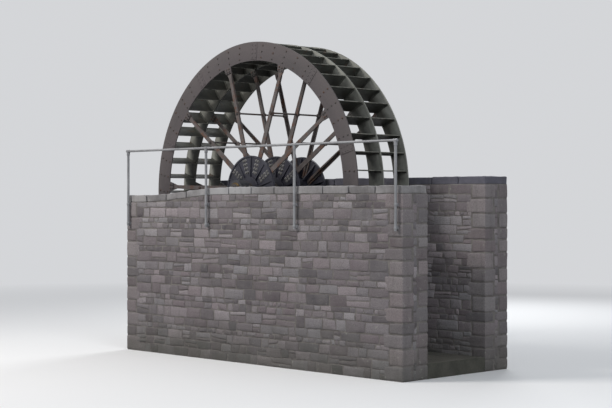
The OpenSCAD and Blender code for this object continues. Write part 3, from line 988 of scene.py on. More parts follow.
def lip_beads(y0, y1):
    """A round bar along the outer lip of each float, with its ends rounded. Its
    axis runs along Y through the end of the arc: float_r0 + FLOAT_CURVE*sin of
    the sweep outwards, and FLOAT_CURVE*(1 - cos of the sweep) clockwise."""
    bar = turned(10, np.array([0.7, 1, 1, 0.7]) * LIP_BEAD_R,
                 [0, BEAD_TIP, y1 - y0 - BEAD_TIP, y1 - y0])
    out = float_r0 + FLOAT_CURVE * math.sin(float_sweep)
    clock = FLOAT_CURVE * (1 - math.cos(float_sweep))
    return repeat(bar, on_wheel(out, clock, float_angles, y0), Z_WAY, X_WAY, Y_WAY)


for bay, y0, y1, seed in (("near", NEAR_IN, MIDDLE_FRONT, 11), ("far", MIDDLE_BACK, FAR_IN, 12)):
    piece = surface("floats_" + bay, join(float_plates(y0, y1, seed), lip_beads(y0, y1)),
                    "float_iron", "wheel", "float_iron")
    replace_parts(piece, *["floats_%s_%02d" % (bay, k + 1) for k in range(FLOAT_GROUPS)])

# %% [markdown]
# ## Bolts
#
# Hundreds of bolts hold this wheel together, and their even rows tell the eye
# how big it is. A bump texture of dots would vanish from the side, so they are
# real, but each has only a few dozen faces: a turned hexagon on a washer, or a
# low dome for a rivet. One shape is repeated at every place.

# %% Shape a bolt and a rivet
WASHER_T = 0.003
WASHER_EDGE = 0.0005
SUNK = 0.001


def bolt(across, height):
    """A hexagon head on a round washer, both closed, seated at z = 0 and sunk
    in a little, so that no gap shows under it."""
    washer = turned(12, [across * 0.78, across * 0.78, across * 0.70],
                    [-SUNK, WASHER_T - WASHER_EDGE, WASHER_T + WASHER_EDGE])
    head = turned(6, [across * 0.5, across * 0.5, across * 0.40],
                  [WASHER_T, WASHER_T + height * 0.75, WASHER_T + height])
    return join(washer, head)


def rivet(radius):
    """A low dome on eight sides."""
    return turned(8, [radius, radius * 0.86, radius * 0.45], [-SUNK, radius * 0.42, radius * 0.62])


def bolts_at(shape, places, toward):
    """The shape at every place, its head to -Y or +Y as toward is -1 or 1."""
    return repeat(shape, places, X_WAY, -toward * Z_WAY, toward * Y_WAY)


made(bolt, rivet, bolts_at)

# %% [markdown]
# ### Where the bolts go
#
# Their places follow the construction: three along the flange at each end of
# each float, four in each arm's foot, eight where it grips the hub, and eight in
# each ring strap. They could be scattered over the faces, but a real pattern is
# drilled. Those on the arms repeat ten times round the shaft, so one pattern,
# given as distances out and aside, makes a whole piece.

# %% Places for the bolts
ARM_N = 10
ARM_PHASE = math.radians(-2)
ARM_PITCH = 2 * math.pi / ARM_N
FLANGE_BOLTS = 0.16, 0.50, 0.84
FLANGE_LINE = 0.55
STRAP_HALF_ANGLE = 0.055


def float_bolt_places(y):
    """Three bolts along the arc of each float's flange, but none where a strap
    lies over the ring: there the strap's rivets take their place."""
    psi = np.array(FLANGE_BOLTS)[None] * float_sweep
    rho = FLOAT_CURVE - FLOAT_FLANGE * FLANGE_LINE
    from_strap = (float_angles - ARM_PHASE) % ARM_PITCH - ARM_PITCH / 2
    theta = float_angles[np.abs(from_strap) > STRAP_HALF_ANGLE][:, None]
    out = float_r0 + rho * np.sin(psi)
    return on_wheel(out, FLOAT_CURVE - rho * np.cos(psi), theta, y).reshape(-1, 3)


def arm_bolts(name, head, radii, sides, finish, slot, faces, turn=0.0):
    """One piece: the head at the given distances out along each arm and sideways
    from it, on every face (y, toward). turn moves the pattern round from the
    arms."""
    theta = (ARM_PHASE + turn + np.arange(ARM_N) * ARM_PITCH)[:, None]
    shapes = [bolts_at(head, on_wheel(radii, -sides, theta, y).reshape(-1, 3), toward)
              for y, toward in faces]
    surface(name, join(*shapes), finish, "wheel", slot)


made(float_bolt_places, arm_bolts)

# %% [markdown]
# ### Bolts and rivets, set by set
#
# Each set has its own head and its own pattern: small bolts hold the floats,
# bigger ones the arms' feet, the biggest grip the arms in the hubs, and flat
# rivets fasten the straps. One size for all would be less work, but the eye
# reads the load on a joint from its bolts.

# %% Put in the bolts and rivets
RING_BOLT = bolt(across=0.026, height=0.012)
flange_bolts = join(bolts_at(RING_BOLT, float_bolt_places(NEAR_OUT), -1),
                    bolts_at(RING_BOLT, float_bolt_places(FAR_OUT), 1))
surface("ring_bolts", flange_bolts, "bolt_iron", "wheel", "float_iron")

FOOT_RADII = INNER_R - np.array([0.030, 0.030, 0.082, 0.082])
FOOT_SIDES = np.array([-0.036, 0.036, -0.034, 0.034])
arm_bolts("foot_bolts", bolt(across=0.032, height=0.015), FOOT_RADII, FOOT_SIDES, "bolt_iron",
          "arm_iron", ((NEAR_OUT, -1), (MIDDLE_FRONT, -1), (FAR_OUT, 1)))

hub_lo, hub_hi = box("hub_near")
HUB_FLANGE_R = (hub_hi[0] - hub_lo[0]) / 2
HUB_FLANGE_T = 0.030
GRIP_RADII = np.repeat(HUB_FLANGE_R - np.array([0.075, 0.150, 0.225, 0.300]), 2)
GRIP_SIDES = np.tile([-0.027, 0.027], 4)
# The hub bolts are pale as a painted highlight.
arm_bolts("hub_bolts", bolt(across=0.038, height=0.019), GRIP_RADII, GRIP_SIDES, "highlight_bolt", "hub_iron",
          ((NEAR_IN - HUB_FLANGE_T, -1), (MIDDLE_BACK - HUB_FLANGE_T, -1), (FAR_IN + HUB_FLANGE_T, 1)))

STRAP_T = 0.0083
STRAP_RADII = np.repeat(INNER_R + np.array([0.060, 0.137, 0.213, 0.290]), 2)
STRAP_SIDES = np.tile([-0.042, 0.042], 4)
arm_bolts("strap_rivets", rivet(radius=0.015), STRAP_RADII, STRAP_SIDES, "ring_iron", "shroud_iron",
          ((NEAR_OUT - STRAP_T, -1), (FAR_OUT + STRAP_T, 1)), ARM_PITCH / 2)

# %% [markdown]
# ## Blocks with worn corners
#
# Dressed stones, such as quoins, paving and bedstones, are boxes whose corners
# the years have rounded. A Bevel modifier would round them all alike. Here a
# cube's surface is a grid of points, and each moves to the nearest point of a
# smaller box, plus one corner radius along the line between the two, which
# rounds edges and corners alike. A little smooth noise makes the faces uneven.

# %% The rounded block
BUNCHING = 0.45
WEAR_SIZE = 0.22


def cube_grid(n):
    """Points and quads on the surface of a cube from -1 to 1, n steps a side,
    with the edges shared."""
    a, b = np.meshgrid(np.linspace(-1, 1, n + 1), np.linspace(-1, 1, n + 1), indexing="ij")
    one = np.ones_like(a)
    sides = [(one, a, b), (-one, b, a), (b, one, a), (a, -one, b), (a, b, one), (b, a, -one)]
    points = np.concatenate([np.stack(side, -1).reshape(-1, 3) for side in sides])
    outward = grid_quads(n + 1, n + 1)[:, [0, 3, 2, 1]]
    quads = each_copy([outward], len(sides), (n + 1) ** 2)[0]
    merged, index = np.unique(np.round(points, 6), axis=0, return_inverse=True)
    return merged, index.reshape(-1)[quads]


def worn_blocks(blocks, radius, uneven, seed, n=6):
    """Rounded boxes between the low and high corner of each block, as one shape,
    and a tint for each. A point goes to the nearest one of a box that is radius
    smaller on all sides, plus radius away from it, less up to uneven. The grid's
    lines are bunched towards the edges by a power, so that the rounding has
    points."""
    grid, quads = cube_grid(n)
    lows, highs = np.array(blocks, float).transpose(1, 0, 2)[:, :, None]
    centre, half = (lows + highs) / 2, (highs - lows) / 2
    place = np.sign(grid) * np.abs(grid) ** BUNCHING * half
    core = np.clip(place, -(half - radius), half - radius)
    away = place - core
    away /= np.maximum(np.linalg.norm(away, axis=-1, keepdims=True), 1e-9)
    points = centre + core + away * radius
    points = points + away * ((wobble(points, WEAR_SIZE, seed) - 1) * uneven / 2)[..., None]
    tint = np.repeat(np.random.default_rng(seed).uniform(0, 1, len(blocks)), len(grid))
    return (points.reshape(-1, 3), each_copy([quads], len(blocks), len(grid))), tint


made(cube_grid, worn_blocks)

# %% [markdown]
# ## Stones that fill a wall
#
# A mason picks stones as they come and makes them fit: the last one in a row
# always ends at the corner. Random lengths don't add up to a wall by themselves.
# Cutting the last one short would show, so all of them are stretched or squeezed
# by the same small amount.

# %% Fill a length with random sizes
def filled(draws, length):
    """The ends of random sizes laid one after the other, with 0 first, all
    scaled so that the last one ends on length."""
    ends = np.concatenate([[0], np.cumsum(draws)])
    return ends * (length / ends[-1])


def fitted(draws, length):
    """The same with only as many of the sizes as length has room for."""
    return filled(draws[:int(np.searchsorted(np.cumsum(draws), length)) + 1], length)


made(filled, fitted)

# %% [markdown]
# ### The rubble's layout
#
# Rubble lies in rough courses: the heights change from course to course, the
# lengths from stone to stone, and no joint runs straight. A wall could be one
# displaced plane, but the joints would look painted on. So the layout is made on
# the flat face first, as four corners a stone, all moved a little at random.

# %% Lay out a face in courses
LONGEST = 3.0
LEAN = 0.016
RISE = 0.012
THIN_SHARE = 0.2
THIN_FROM = 0.13
THIN_CUT = 0.35, 0.65


def halved(row, rng):
    """Each stone of a row laid as two thin ones, upper and lower."""
    upper, lower = row, row.copy()
    cut = rng.uniform(*THIN_CUT, (2, len(row), 1))
    left = upper[:, 0] + (upper[:, 3] - upper[:, 0]) * cut[0]
    right = upper[:, 1] + (upper[:, 2] - upper[:, 1]) * cut[1]
    upper[:, 0], upper[:, 1] = left, right
    lower[:, 3], lower[:, 2] = left, right
    return [upper, lower]


def lay_courses(length, height, seed, low=0.08, high=0.20):
    """Corners of the stones of a face, (n, 4, 2): course heights between low and
    high, stone lengths 1 to LONGEST times that, every corner pushed a bit, and
    one in five of the taller stones laid as two thin ones."""
    rng = np.random.default_rng(seed)
    levels = fitted(rng.uniform(low, high, int(height / low) + 2), height)
    stones = []
    for bottom, top in zip(levels[:-1], levels[1:]):
        tall = top - bottom
        ends = fitted(rng.uniform(1.0, LONGEST, int(length / tall) + 2) * tall, length)
        x = np.stack([ends[:-1], ends[1:], ends[1:], ends[:-1]])
        x = x + rng.uniform(-LEAN, LEAN, x.shape)
        z = np.array([bottom, bottom, top, top])[:, None] + rng.uniform(-RISE, RISE, x.shape)
        row = np.stack([x, z], -1).transpose(1, 0, 2)
        thin = (rng.uniform(size=len(row)) < THIN_SHARE) & (tall > THIN_FROM)
        stones += [row[~thin]] + halved(row[thin], rng)
    return np.concatenate(stones)


trial = lay_courses(1.0, 1.0, 0)
print("a square metre of rubble has", len(trial), "stones")

# %% [markdown]
# ### Stones like pillows
#
# Each stone is a pillow on its four corners: nearly flat in the middle, with
# chipped edges that go down into the joint. An even grid would need many lines
# to round the edge. This one has them close together there and few in the
# middle. The stone is set in the mortar of the ready-made wall and stands about
# a finger's width out of it.

# %% Measure a stone's edge
EDGE_PLACES = np.array([0.0, 0.006, 0.016])
EDGE_LIFT = np.array([-0.010, 0.55, 0.92])
LEAST_W = 0.05


def edge_steps(size, inner):
    """Places across a stone, from 0 to 1: close together at both edges, where it
    is rounded, and inner ones evenly between. size is (n, 1)."""
    size = np.maximum(size, LEAST_W)
    rounded = EDGE_PLACES[-1]
    middle = np.linspace(0, 1, inner + 2)[1:-1]
    return np.concatenate([EDGE_PLACES + 0 * size, rounded + middle * (size - 2 * rounded),
                           size - EDGE_PLACES[::-1]], 1) / size


def lift_profile(inner):
    """How far up a stone's face is along one edge_steps: 1 in the middle."""
    return np.concatenate([EDGE_LIFT, np.ones(inner), EDGE_LIFT[::-1]])


def rim_of(rows, cols):
    """The points round the edge of a grid, as one face that closes its back."""
    last = (rows - 1) * cols
    return np.concatenate([np.arange(cols), np.arange(1, rows) * cols + cols - 1,
                           last + np.arange(cols - 2, -1, -1), np.arange(rows - 2, 0, -1) * cols])


made(edge_steps, lift_profile, rim_of)

# %% [markdown]
# ### From corners to stones
#
# All the stones of a face are computed together: the blend of the four corners
# gives each point its place on the wall, and the profile of the edge says how
# far it stands out. A Bevel and a Displace modifier on cut planes could give
# something like it, but every stone would have the same edge.

# %% Turn corners into stones
BURIED = -0.012
JOINT_HALF = 0.005
LEAST_PROUD, PROUD = 0.002, 0.013
INNER_COLS, INNER_ROWS = 3, 2
DOME = 0.40, 0.92
CHIP = 0.0022
ROUGHNESS = 0.0012
TILT = 0.004
TINT_PULL = 1.6


def pillow_stones(corners, origin, along, out, seed):
    """Stones on a wall face, and a tint for each. A point lies at the blend of
    its stone's four corners, buried at the edge, and stands out by up to PROUD
    from 16 mm inwards, with its own dome, tilt and roughness."""
    rng = np.random.default_rng(seed)
    n = len(corners)
    width = corners[:, 1:3, 0].mean(1) - corners[:, [0, 3], 0].mean(1) - 2 * JOINT_HALF
    height = corners[:, 2:4, 1].mean(1) - corners[:, 0:2, 1].mean(1) - 2 * JOINT_HALF
    s, t = edge_steps(width[:, None], INNER_COLS), edge_steps(height[:, None], INNER_ROWS)
    cols, rows = s.shape[1], t.shape[1]
    s, t = s[:, None, :, None], t[:, :, None, None]
    c = (corners + JOINT_HALF * np.array([[1, 1], [-1, 1], [-1, -1], [1, -1]]))[:, :, None, None]
    face = (1 - s) * (1 - t) * c[:, 0] + s * (1 - t) * c[:, 1] + s * t * c[:, 2] + (1 - s) * t * c[:, 3]
    face = face + rng.normal(0, CHIP, face.shape)
    tilt = rng.uniform(-TILT, TILT, (2, n, 1, 1))
    dome = rng.uniform(*DOME, (n, 1, 1)) * PROUD + rng.normal(0, ROUGHNESS, (n, rows, cols))
    dome = dome + tilt[0] * (s[..., 0] - 0.5) + tilt[1] * (t[..., 0] - 0.5)
    lift = lift_profile(INNER_COLS) * lift_profile(INNER_ROWS)[:, None]
    depth = np.clip(dome, LEAST_PROUD, PROUD) * lift
    depth[:, [0, -1]] = BURIED
    depth[:, :, [0, -1]] = BURIED
    points = origin + face[..., 0:1] * along + face[..., 1:2] * Z_WAY + depth[..., None] * out
    points[..., 2] = np.maximum(points[..., 2], 0.0)
    quads, rim = grid_quads(rows, cols), rim_of(rows, cols)
    if np.dot(np.cross(along, Z_WAY), out) < 0:
        quads, rim = quads[:, ::-1], rim[::-1]
    faces = each_copy([quads, rim[None, ::-1]], n, cols * rows)
    tint = rng.beta(TINT_PULL, TINT_PULL, n)
    return (points.reshape(-1, 3), faces), np.repeat(tint, cols * rows)


made(pillow_stones)

# %% [markdown]
# ### Trimming the layout
#
# The front wall's top is lower at its left end and slopes up towards the
# bearing, and both walls have a recess for the bearing. Cutting the finished
# stones with a Boolean would leave raw flat sections, which no mason leaves. So
# the layout is trimmed instead, before the stones are shaped, and every stone
# keeps its worn edges.

# %% Trim the courses
TOP_GAP = 0.004
LEAST_H = 0.05
LEAST_LEFT = 0.07


def under_slope(corners, ceiling):
    """Keeps the stones whose foot is well under the wall's top, and trims them
    to it."""
    tops = ceiling(corners[:, :, 0])
    keep = corners[:, 0:2, 1].max(1) < tops.min(1) - LEAST_H
    corners = corners[keep].copy()
    corners[:, :, 1] = np.minimum(corners[:, :, 1], tops[keep] - TOP_GAP)
    return corners


def outside(corners, x0, x1, z0):
    """Cuts the stones that reach into a recess from x0 to x1 and above z0 back to
    its edges, and drops what is left too small."""
    cut = corners.copy()
    left, right = cut[:, [0, 3], 0], cut[:, [1, 2], 0]
    hit = (right.max(1) > x0) & (left.min(1) < x1) & (cut[:, 2:4, 1].max(1) > z0)
    under = hit & (cut[:, 0:2, 1].max(1) < z0 - LEAST_H)
    before = hit & ~under & (left.max(1) < x0 - LEAST_LEFT)
    after = hit & ~under & (right.min(1) > x1 + LEAST_LEFT)
    cut[under, 2:4, 1] = np.minimum(cut[under, 2:4, 1], z0)
    cut[before, 1:3, 0] = np.minimum(cut[before, 1:3, 0], x0)
    cut[after, 0, 0] = np.maximum(cut[after, 0, 0], x1)
    cut[after, 3, 0] = np.maximum(cut[after, 3, 0], x1)
    return cut[~hit | under | before | after]


made(under_slope, outside)

# %% [markdown]
# ### The tops of the walls
#
# The front wall is a hand lower at its left end, runs level, slopes up and is
# level again. The back wall is level. The line could be read off the finished
# mesh with a ray from above, but three lengths say it more plainly, and
# everything that lies on the wall uses the same line.

# %% Measure the walls
FRONT_DROP = 0.140
LOW_LEN = 0.850
SLOPE_LEN = 1.700
RECESS_HALF = 0.500

wall_lo, wall_hi = box("front_wall")
back_lo, back_hi = box("back_wall")
bed_lo, bed_hi = box("bedstones")
front_len = wall_hi[0] - wall_lo[0]
recess_x = AXLE[0] - wall_lo[0] - RECESS_HALF, AXLE[0] - wall_lo[0] + RECESS_HALF


def front_fall(x):
    """Height of the front wall's top, from its highest stretch, at the distance x
    from the left end: level, then a straight slope, then level again."""
    return -FRONT_DROP * (1 - np.clip((x - LOW_LEN) / SLOPE_LEN, 0, 1))


def front_ceiling(x):
    """Height of the front wall's top at the distance x from its left end."""
    return wall_hi[2] + front_fall(x)


def back_ceiling(x):
    """Height of the back wall's top, which is level."""
    return back_hi[2] + 0 * x


print("walls", round(front_len, 3), "m long, up to", round(wall_hi[2], 3), "and", round(back_hi[2], 3))

# %% [markdown]
# ### The four long faces
#
# Each wall shows its masonry outside and inside the pit. One face could be
# copied to the others, but the eye finds a repeated stone at once, so each face
# has its own layout. The rubble stops short of the recesses and leaves room for
# dressed stones on both sides, and for a sill on the back wall's outer face.

# %% Build the four long faces
QUOIN_W = 0.30
JAMB_REACH = 0.150
SILL_H = 0.150


def lay(name, stones, finish, slot):
    """A piece of the pit from stones: their shape and their tints."""
    return surface(name, stones[0], finish, "pit", slot, stones[1])


def long_face(name, y, out, ceiling, recessed, seed):
    """One long face of a wall, between its quoins. recessed is None, or how far
    below the recess the rubble stops."""
    corners = lay_courses(front_len - 2 * QUOIN_W, ceiling(front_len), seed)
    corners[:, :, 0] += QUOIN_W
    corners = under_slope(corners, ceiling)
    if recessed is not None:
        corners = outside(corners, recess_x[0] - JAMB_REACH, recess_x[1] + JAMB_REACH, bed_lo[2] - recessed)
    stones = pillow_stones(corners, np.array([wall_lo[0], y, 0]), X_WAY, out * Y_WAY, seed)
    lay("stones_" + name, stones, "rubble", "wall_stone")
    print(name, len(corners), "stones")


long_face("front_outer", wall_lo[1], -1, front_ceiling, None, 21)
long_face("front_inner", wall_hi[1], 1, front_ceiling, 0.0, 22)
long_face("back_inner", back_lo[1], -1, back_ceiling, 0.0, 23)
long_face("back_outer", back_hi[1], 1, back_ceiling, SILL_H, 24)

# %% [markdown]
# ### Quoins
#
# Rubble makes a weak corner, so a mason turns it with dressed quoins, long and
# short by turns, that bond both faces. They stand a little proud of the rubble,
# and no two are quite the same height. They could be drawn into the rubble's
# layout, but they go round a corner, which a flat layout can't. So they are
# worn blocks.

# %% Build the quoins
QUOIN_H = 0.235
QUOIN_PROUD = 0.014
QUOIN_LONG, QUOIN_SHORT = 0.285, 0.22
QUOIN_GAP = 0.02
QUOIN_EXTRA = 0.14
QUOIN_SPREAD = 0.78, 1.28
BED_JOINT = 0.006
FRONT_TOPS = front_ceiling(0.0), wall_hi[2]
BACK_TOPS = back_hi[2], back_hi[2]


def quoins(name, lo, hi, tops, seed):
    """Dressed corner stones at both ends of a wall. One that is long on the long
    face is short on the end face, and the one above it is the other way round."""
    rng = np.random.default_rng(seed)
    blocks = []
    for x, way, top in ((lo[0], 1, tops[0]), (hi[0], -1, tops[1])):
        levels = filled(rng.uniform(*QUOIN_SPREAD, int(round(top / QUOIN_H))), top)
        for y, inward in ((lo[1], 1), (hi[1], -1)):
            for k, (z0, z1) in enumerate(zip(levels[:-1], levels[1:])):
                if (k + (inward > 0)) % 2:
                    reach_x, reach_y = QUOIN_W + QUOIN_EXTRA * rng.uniform(0.5, 1), QUOIN_SHORT
                else:
                    reach_x, reach_y = QUOIN_W - QUOIN_GAP, QUOIN_LONG
                a = x - way * QUOIN_PROUD, y - inward * QUOIN_PROUD, z0 + BED_JOINT
                b = x + way * reach_x, y + inward * reach_y, z1 - BED_JOINT
                blocks.append((np.minimum(a, b), np.maximum(a, b)))
    stones = worn_blocks(blocks, radius=0.022, uneven=0.008, seed=seed)
    lay("quoins_" + name, stones, "quoin_stone", "wall_stone")


quoins("front", wall_lo, wall_hi, FRONT_TOPS, 31)
quoins("back", back_lo, back_hi, BACK_TOPS, 32)

# %% [markdown]
# ### Short ends
#
# The end faces are narrow, so their courses are taller and their stones fewer.
# The same two functions that built the long faces build them, turned to face
# along the wall. Both ends of a wall are joined to one piece.

# %% Build the short ends
END_MARGIN = 0.25
END_TOP_GAP = 0.01
END_COURSES = 0.10, 0.20


def end_faces(name, lo, hi, tops, seed):
    """Rubble between the quoins on both end faces of a wall."""
    ends = []
    for k, (x, out, top) in enumerate(((lo[0], -1, tops[0]), (hi[0], 1, tops[1]))):
        corners = lay_courses(hi[1] - lo[1] - 2 * END_MARGIN, top - END_TOP_GAP, seed + k,
                              *END_COURSES)
        ends.append(pillow_stones(corners, np.array([x, lo[1] + END_MARGIN, 0]), Y_WAY,
                                  out * X_WAY, seed + k))
    shapes, tints = zip(*ends)
    lay("stones_%s_ends" % name, (join(*shapes), np.concatenate(tints)), "rubble", "wall_stone")


end_faces("front", wall_lo, wall_hi, FRONT_TOPS, 41)
end_faces("back", back_lo, back_hi, BACK_TOPS, 43)

# %% [markdown]
# ### Round the recesses
#
# Where a wall is cut for a bearing, its raw edge is made good with dressed
# stones: jambs up both sides, long and short by turns, and a sill under the
# opening on the outside. One frame cut from a single slab would be simpler, but
# stone isn't laid that way. They are worn blocks too, just proud of the rubble.

# %% Build the jambs and the sill
RECESS_D = 0.360
JAMB_N = 3
JAMB_PROUD = 0.007
JAMB_LAP, JAMB_BOND = 0.010, 0.110
JAMB_JOINT = 0.005
JAMB_SPREAD = 0.8, 1.2
SHELF_GAP = 0.010
FACE_PROUD = 0.012
SILL_PROUD = 0.014
SILL_SPLIT = 0.560
SILL_SUNK = 0.020
SILL_RISE = 0.004


def jambs(y0, y1, top, seed):
    """Low and high corners of the stones up both sides of a recess."""
    draws = np.random.default_rng(seed).uniform(*JAMB_SPREAD, JAMB_N)
    levels = bed_lo[2] + filled(draws, top - bed_lo[2])
    blocks = []
    for edge, way in ((recess_x[0], -1), (recess_x[1], 1)):
        for k, (z0, z1) in enumerate(zip(levels[:-1], levels[1:])):
            inner = wall_lo[0] + edge - way * JAMB_PROUD
            outer = wall_lo[0] + edge + way * (JAMB_REACH + JAMB_LAP + JAMB_BOND * (k % 2))
            blocks.append(((min(inner, outer), y0, z0 + JAMB_JOINT),
                           (max(inner, outer), y1, z1 - JAMB_JOINT)))
    return blocks


recess_blocks = jambs(wall_hi[1] - RECESS_D + SHELF_GAP, wall_hi[1] + FACE_PROUD,
                      front_ceiling(recess_x[0]) - BED_JOINT, 54)
recess_blocks += jambs(back_lo[1] - FACE_PROUD, back_hi[1] + FACE_PROUD, back_hi[2] - TOP_GAP, 55)
sill_ends = wall_lo[0] + np.array([recess_x[0] - JAMB_BOND, recess_x[0] + SILL_SPLIT,
                                   recess_x[1] + JAMB_BOND])
for a, b in zip(sill_ends[:-1], sill_ends[1:]):
    recess_blocks.append(((a + BED_JOINT / 2, bed_hi[1] - SILL_SUNK, bed_lo[2] - SILL_H + BED_JOINT),
                          (b - BED_JOINT / 2, back_hi[1] + SILL_PROUD, bed_lo[2] + SILL_RISE)))
recess_stones = worn_blocks(recess_blocks, radius=0.018, uneven=0.006, seed=56)
lay("recess_stones", recess_stones, "quoin_stone", "wall_stone")

# %% [markdown]
# ## The coping
#
# A wall is closed by long heavy stones that throw the rain off its faces. They
# are of one length, but where the bearing's recess is cut into the wall, a stone
# keeps only what is left. That could be cut out of the finished stones with a
# Boolean. It is simpler to lay out what is left as blocks of their own.

# %% Lay out a coping
COPING_N = 12
COPING_T = 0.130
COPING_SUNK = 0.010
COPING_UNEVEN = -0.004, 0.006
COPING_JOINT = 0.007
LEAST_LEN = 0.08
coping_joints = np.linspace(0, front_len, COPING_N + 1)


def coping_blocks(outer, inner, kept, top, seed):
    """Low and high corners of the stones of one coping, from its outer face to
    its inner one. kept is how far it goes on in front of the recess."""
    rng = np.random.default_rng(seed)
    shelf = outer + kept if inner > outer else outer - kept
    blocks = []
    for a, b in zip(coping_joints[:-1], coping_joints[1:]):
        parts = [(a, b, outer, inner)]
        if a < recess_x[1] and b > recess_x[0]:
            start = shelf if kept else outer
            parts = [(a, min(b, recess_x[0]), start, inner), (max(a, recess_x[1]), b, start, inner)]
            if kept:
                parts = [(a, b, outer, shelf)] + parts
        for x0, x1, y0, y1 in parts:
            if x1 - x0 > LEAST_LEN:
                low, high = top - COPING_T - COPING_SUNK, top + rng.uniform(*COPING_UNEVEN)
                blocks.append(((wall_lo[0] + x0 + COPING_JOINT / 2, min(y0, y1), low),
                               (wall_lo[0] + x1 - COPING_JOINT / 2, max(y0, y1), high)))
    return blocks


made(coping_blocks)

# %% [markdown]
# ### Two copings
#
# The stones have lost their edges and their level, and the front ones follow the
# wall's slope. A block could be turned to lie on the slope, but then its joints
# would lean. Each is computed level and its points are then moved up by the line
# of the wall's top, so that the joints stay upright.

# %% Lay both copings
COPING_ROUND = 0.020
COPING_STEPS = 10


def top_line(x):
    """Height of the front coping's top, from its highest stretch, at the distance
    x from the wall's left end: straight from one joint to the next."""
    return np.interp(x, coping_joints, front_fall(coping_joints))


def lay_coping(node, finish, slot, blocks, uneven, line, seed):
    """The coping's stones as worn blocks, moved up by line at each point's x."""
    (points, faces), tint = worn_blocks(blocks, COPING_ROUND, uneven, seed, COPING_STEPS)
    points[:, 2] += line(points[:, 0] - wall_lo[0])
    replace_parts(lay(node + "_stones", ((points, faces), tint), finish, slot), node)
    print(node, len(blocks), "stones")


front_lo, front_hi = box("front_coping")
shelf_w = front_hi[1] - front_lo[1] - RECESS_D
front_blocks = coping_blocks(front_lo[1], front_hi[1], shelf_w, front_hi[2], 51)
lay_coping("front_coping", "pale_cement", "pale_coping", front_blocks, 0.016, top_line, 51)

slab_lo, slab_hi = box("back_coping")
back_blocks = coping_blocks(slab_hi[1], slab_lo[1], 0.0, slab_hi[2], 52)
lay_coping("back_coping", "blue_flag", "slate_coping", back_blocks, 0.010, np.zeros_like, 52)

# %% [markdown]
# ### Bedstones
#
# Under each bearing lies one big dressed stone, on which its sole plate is bolted
# down. The ready-made one is a plain box, and a Bevel would round it evenly. Two
# worn blocks of the same size take its place.

# %% Lay the bedstones
BED_STEPS = 10
bed_blocks = [((bed_lo[0], y0, bed_lo[2]), (bed_hi[0], y1, bed_hi[2]))
              for y0, y1 in ((bed_lo[1], wall_hi[1]), (back_lo[1], bed_hi[1]))]
bed_stones = worn_blocks(bed_blocks, radius=0.016, uneven=0.006, seed=53, n=BED_STEPS)
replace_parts(lay("bedstone_blocks", bed_stones, "gritstone", "bed_stone"), "bedstones")

# %% [markdown]
# ## The pit's floor
#
# Flagstones in rows across the pit, worn by the water. A bumped plane would do
# under water, but this pit shows its floor at both ends. So they are worn blocks
# that stand a finger's width out of the ready-made floor, each row with its own
# joints.

# %% Lay the flags
FLAG_ROWS = 3
FLAGS_A_ROW = 12
FLAG_SPREAD = 0.45, 0.95
FLAG_GAP = 0.012
FLAG_PROUD = 0.006, 0.016
FLAG_SUNK = 0.05
floor_lo, floor_hi = box("pit_floor")
flag_rows = np.linspace(floor_lo[1], floor_hi[1], FLAG_ROWS + 1)
flags = []
rng = np.random.default_rng(61)
for y0, y1 in zip(flag_rows[:-1], flag_rows[1:]):
    ends = floor_lo[0] + filled(rng.uniform(*FLAG_SPREAD, FLAGS_A_ROW), floor_hi[0] - floor_lo[0])
    for a, b in zip(ends[:-1], ends[1:]):
        top = floor_hi[2] + rng.uniform(*FLAG_PROUD)
        flags.append(((a + FLAG_GAP / 2, y0 + FLAG_GAP / 2, floor_hi[2] - FLAG_SUNK),
                      (b - FLAG_GAP / 2, y1 - FLAG_GAP / 2, top)))
lay("floor_flags", worn_blocks(flags, radius=0.018, uneven=0.004, seed=61), "paving", "pit_stone")

# %% [markdown]
# ## Small iron of the bearings
#
# A cap is drawn down on its housing by four studs with nuts, and the sole plate
# is held by four long bolts that go into the bedstone. A screw thread would
# never be seen at this size, so a stud's end is a plain pin with a rounded tip.

# %% Studs and holding-down bolts
EAR_T = 0.034
EAR_MID, EAR_HALF = 0.2113, 0.055
SOLE_T = 0.045
SOLE_MID, SOLE_HALF = 0.268, 0.07
PIN_TIP = 0.006


def stud(across, height, reach):
    """A nut on a washer, with the stud's rounded end standing out of it."""
    pin = turned(10, [across * 0.30, across * 0.30, across * 0.20],
                 [height * 0.5, height + reach, height + reach + PIN_TIP])
    return join(bolt(across, height), pin)


def four_round(aside, along, y, z):
    """The four places aside from the shaft and along it from y, at height z."""
    sides, ends = np.array([(-1, -1), (-1, 1), (1, -1), (1, 1)]).T
    return np.stack(np.broadcast_arrays(AXLE[0] + sides * aside, y + ends * along, z), -1)


UPRIGHT = X_WAY, Y_WAY, Z_WAY
CAP_STUD = stud(across=0.042, height=0.026, reach=0.014)
SOLE_STUD = stud(across=0.050, height=0.030, reach=0.020)
bearing_studs = []
for side in ("front", "back"):
    cap_lo, cap_hi = box("cap_" + side)
    sole_top = box("pedestal_" + side)[0][2] + SOLE_T
    mid_y = (cap_lo[1] + cap_hi[1]) / 2
    on_cap = four_round(EAR_MID, EAR_HALF, mid_y, AXLE[2] + EAR_T)
    on_sole = four_round(SOLE_MID, SOLE_HALF, mid_y, sole_top)
    bearing_studs += [repeat(CAP_STUD, on_cap, *UPRIGHT), repeat(SOLE_STUD, on_sole, *UPRIGHT)]
surface("bearing_studs", join(*bearing_studs), "bolt_iron", "pit", "bearing_iron")

# %% [markdown]
# ## Fittings of the rail
#
# The guard rail is galvanised pipe. Where a post meets the rail there is a
# sleeve round the rail and a socket over the post, and two bands clip each post
# to the wall. Pipe fittings are turned shapes with a chamfer at each end, so
# three short profiles make them all.

# %% Fit the rail
POST_R = 0.024
POST_N = 4
POST_MARGIN = 0.100
CLIP_DROPS = 0.265, 0.640

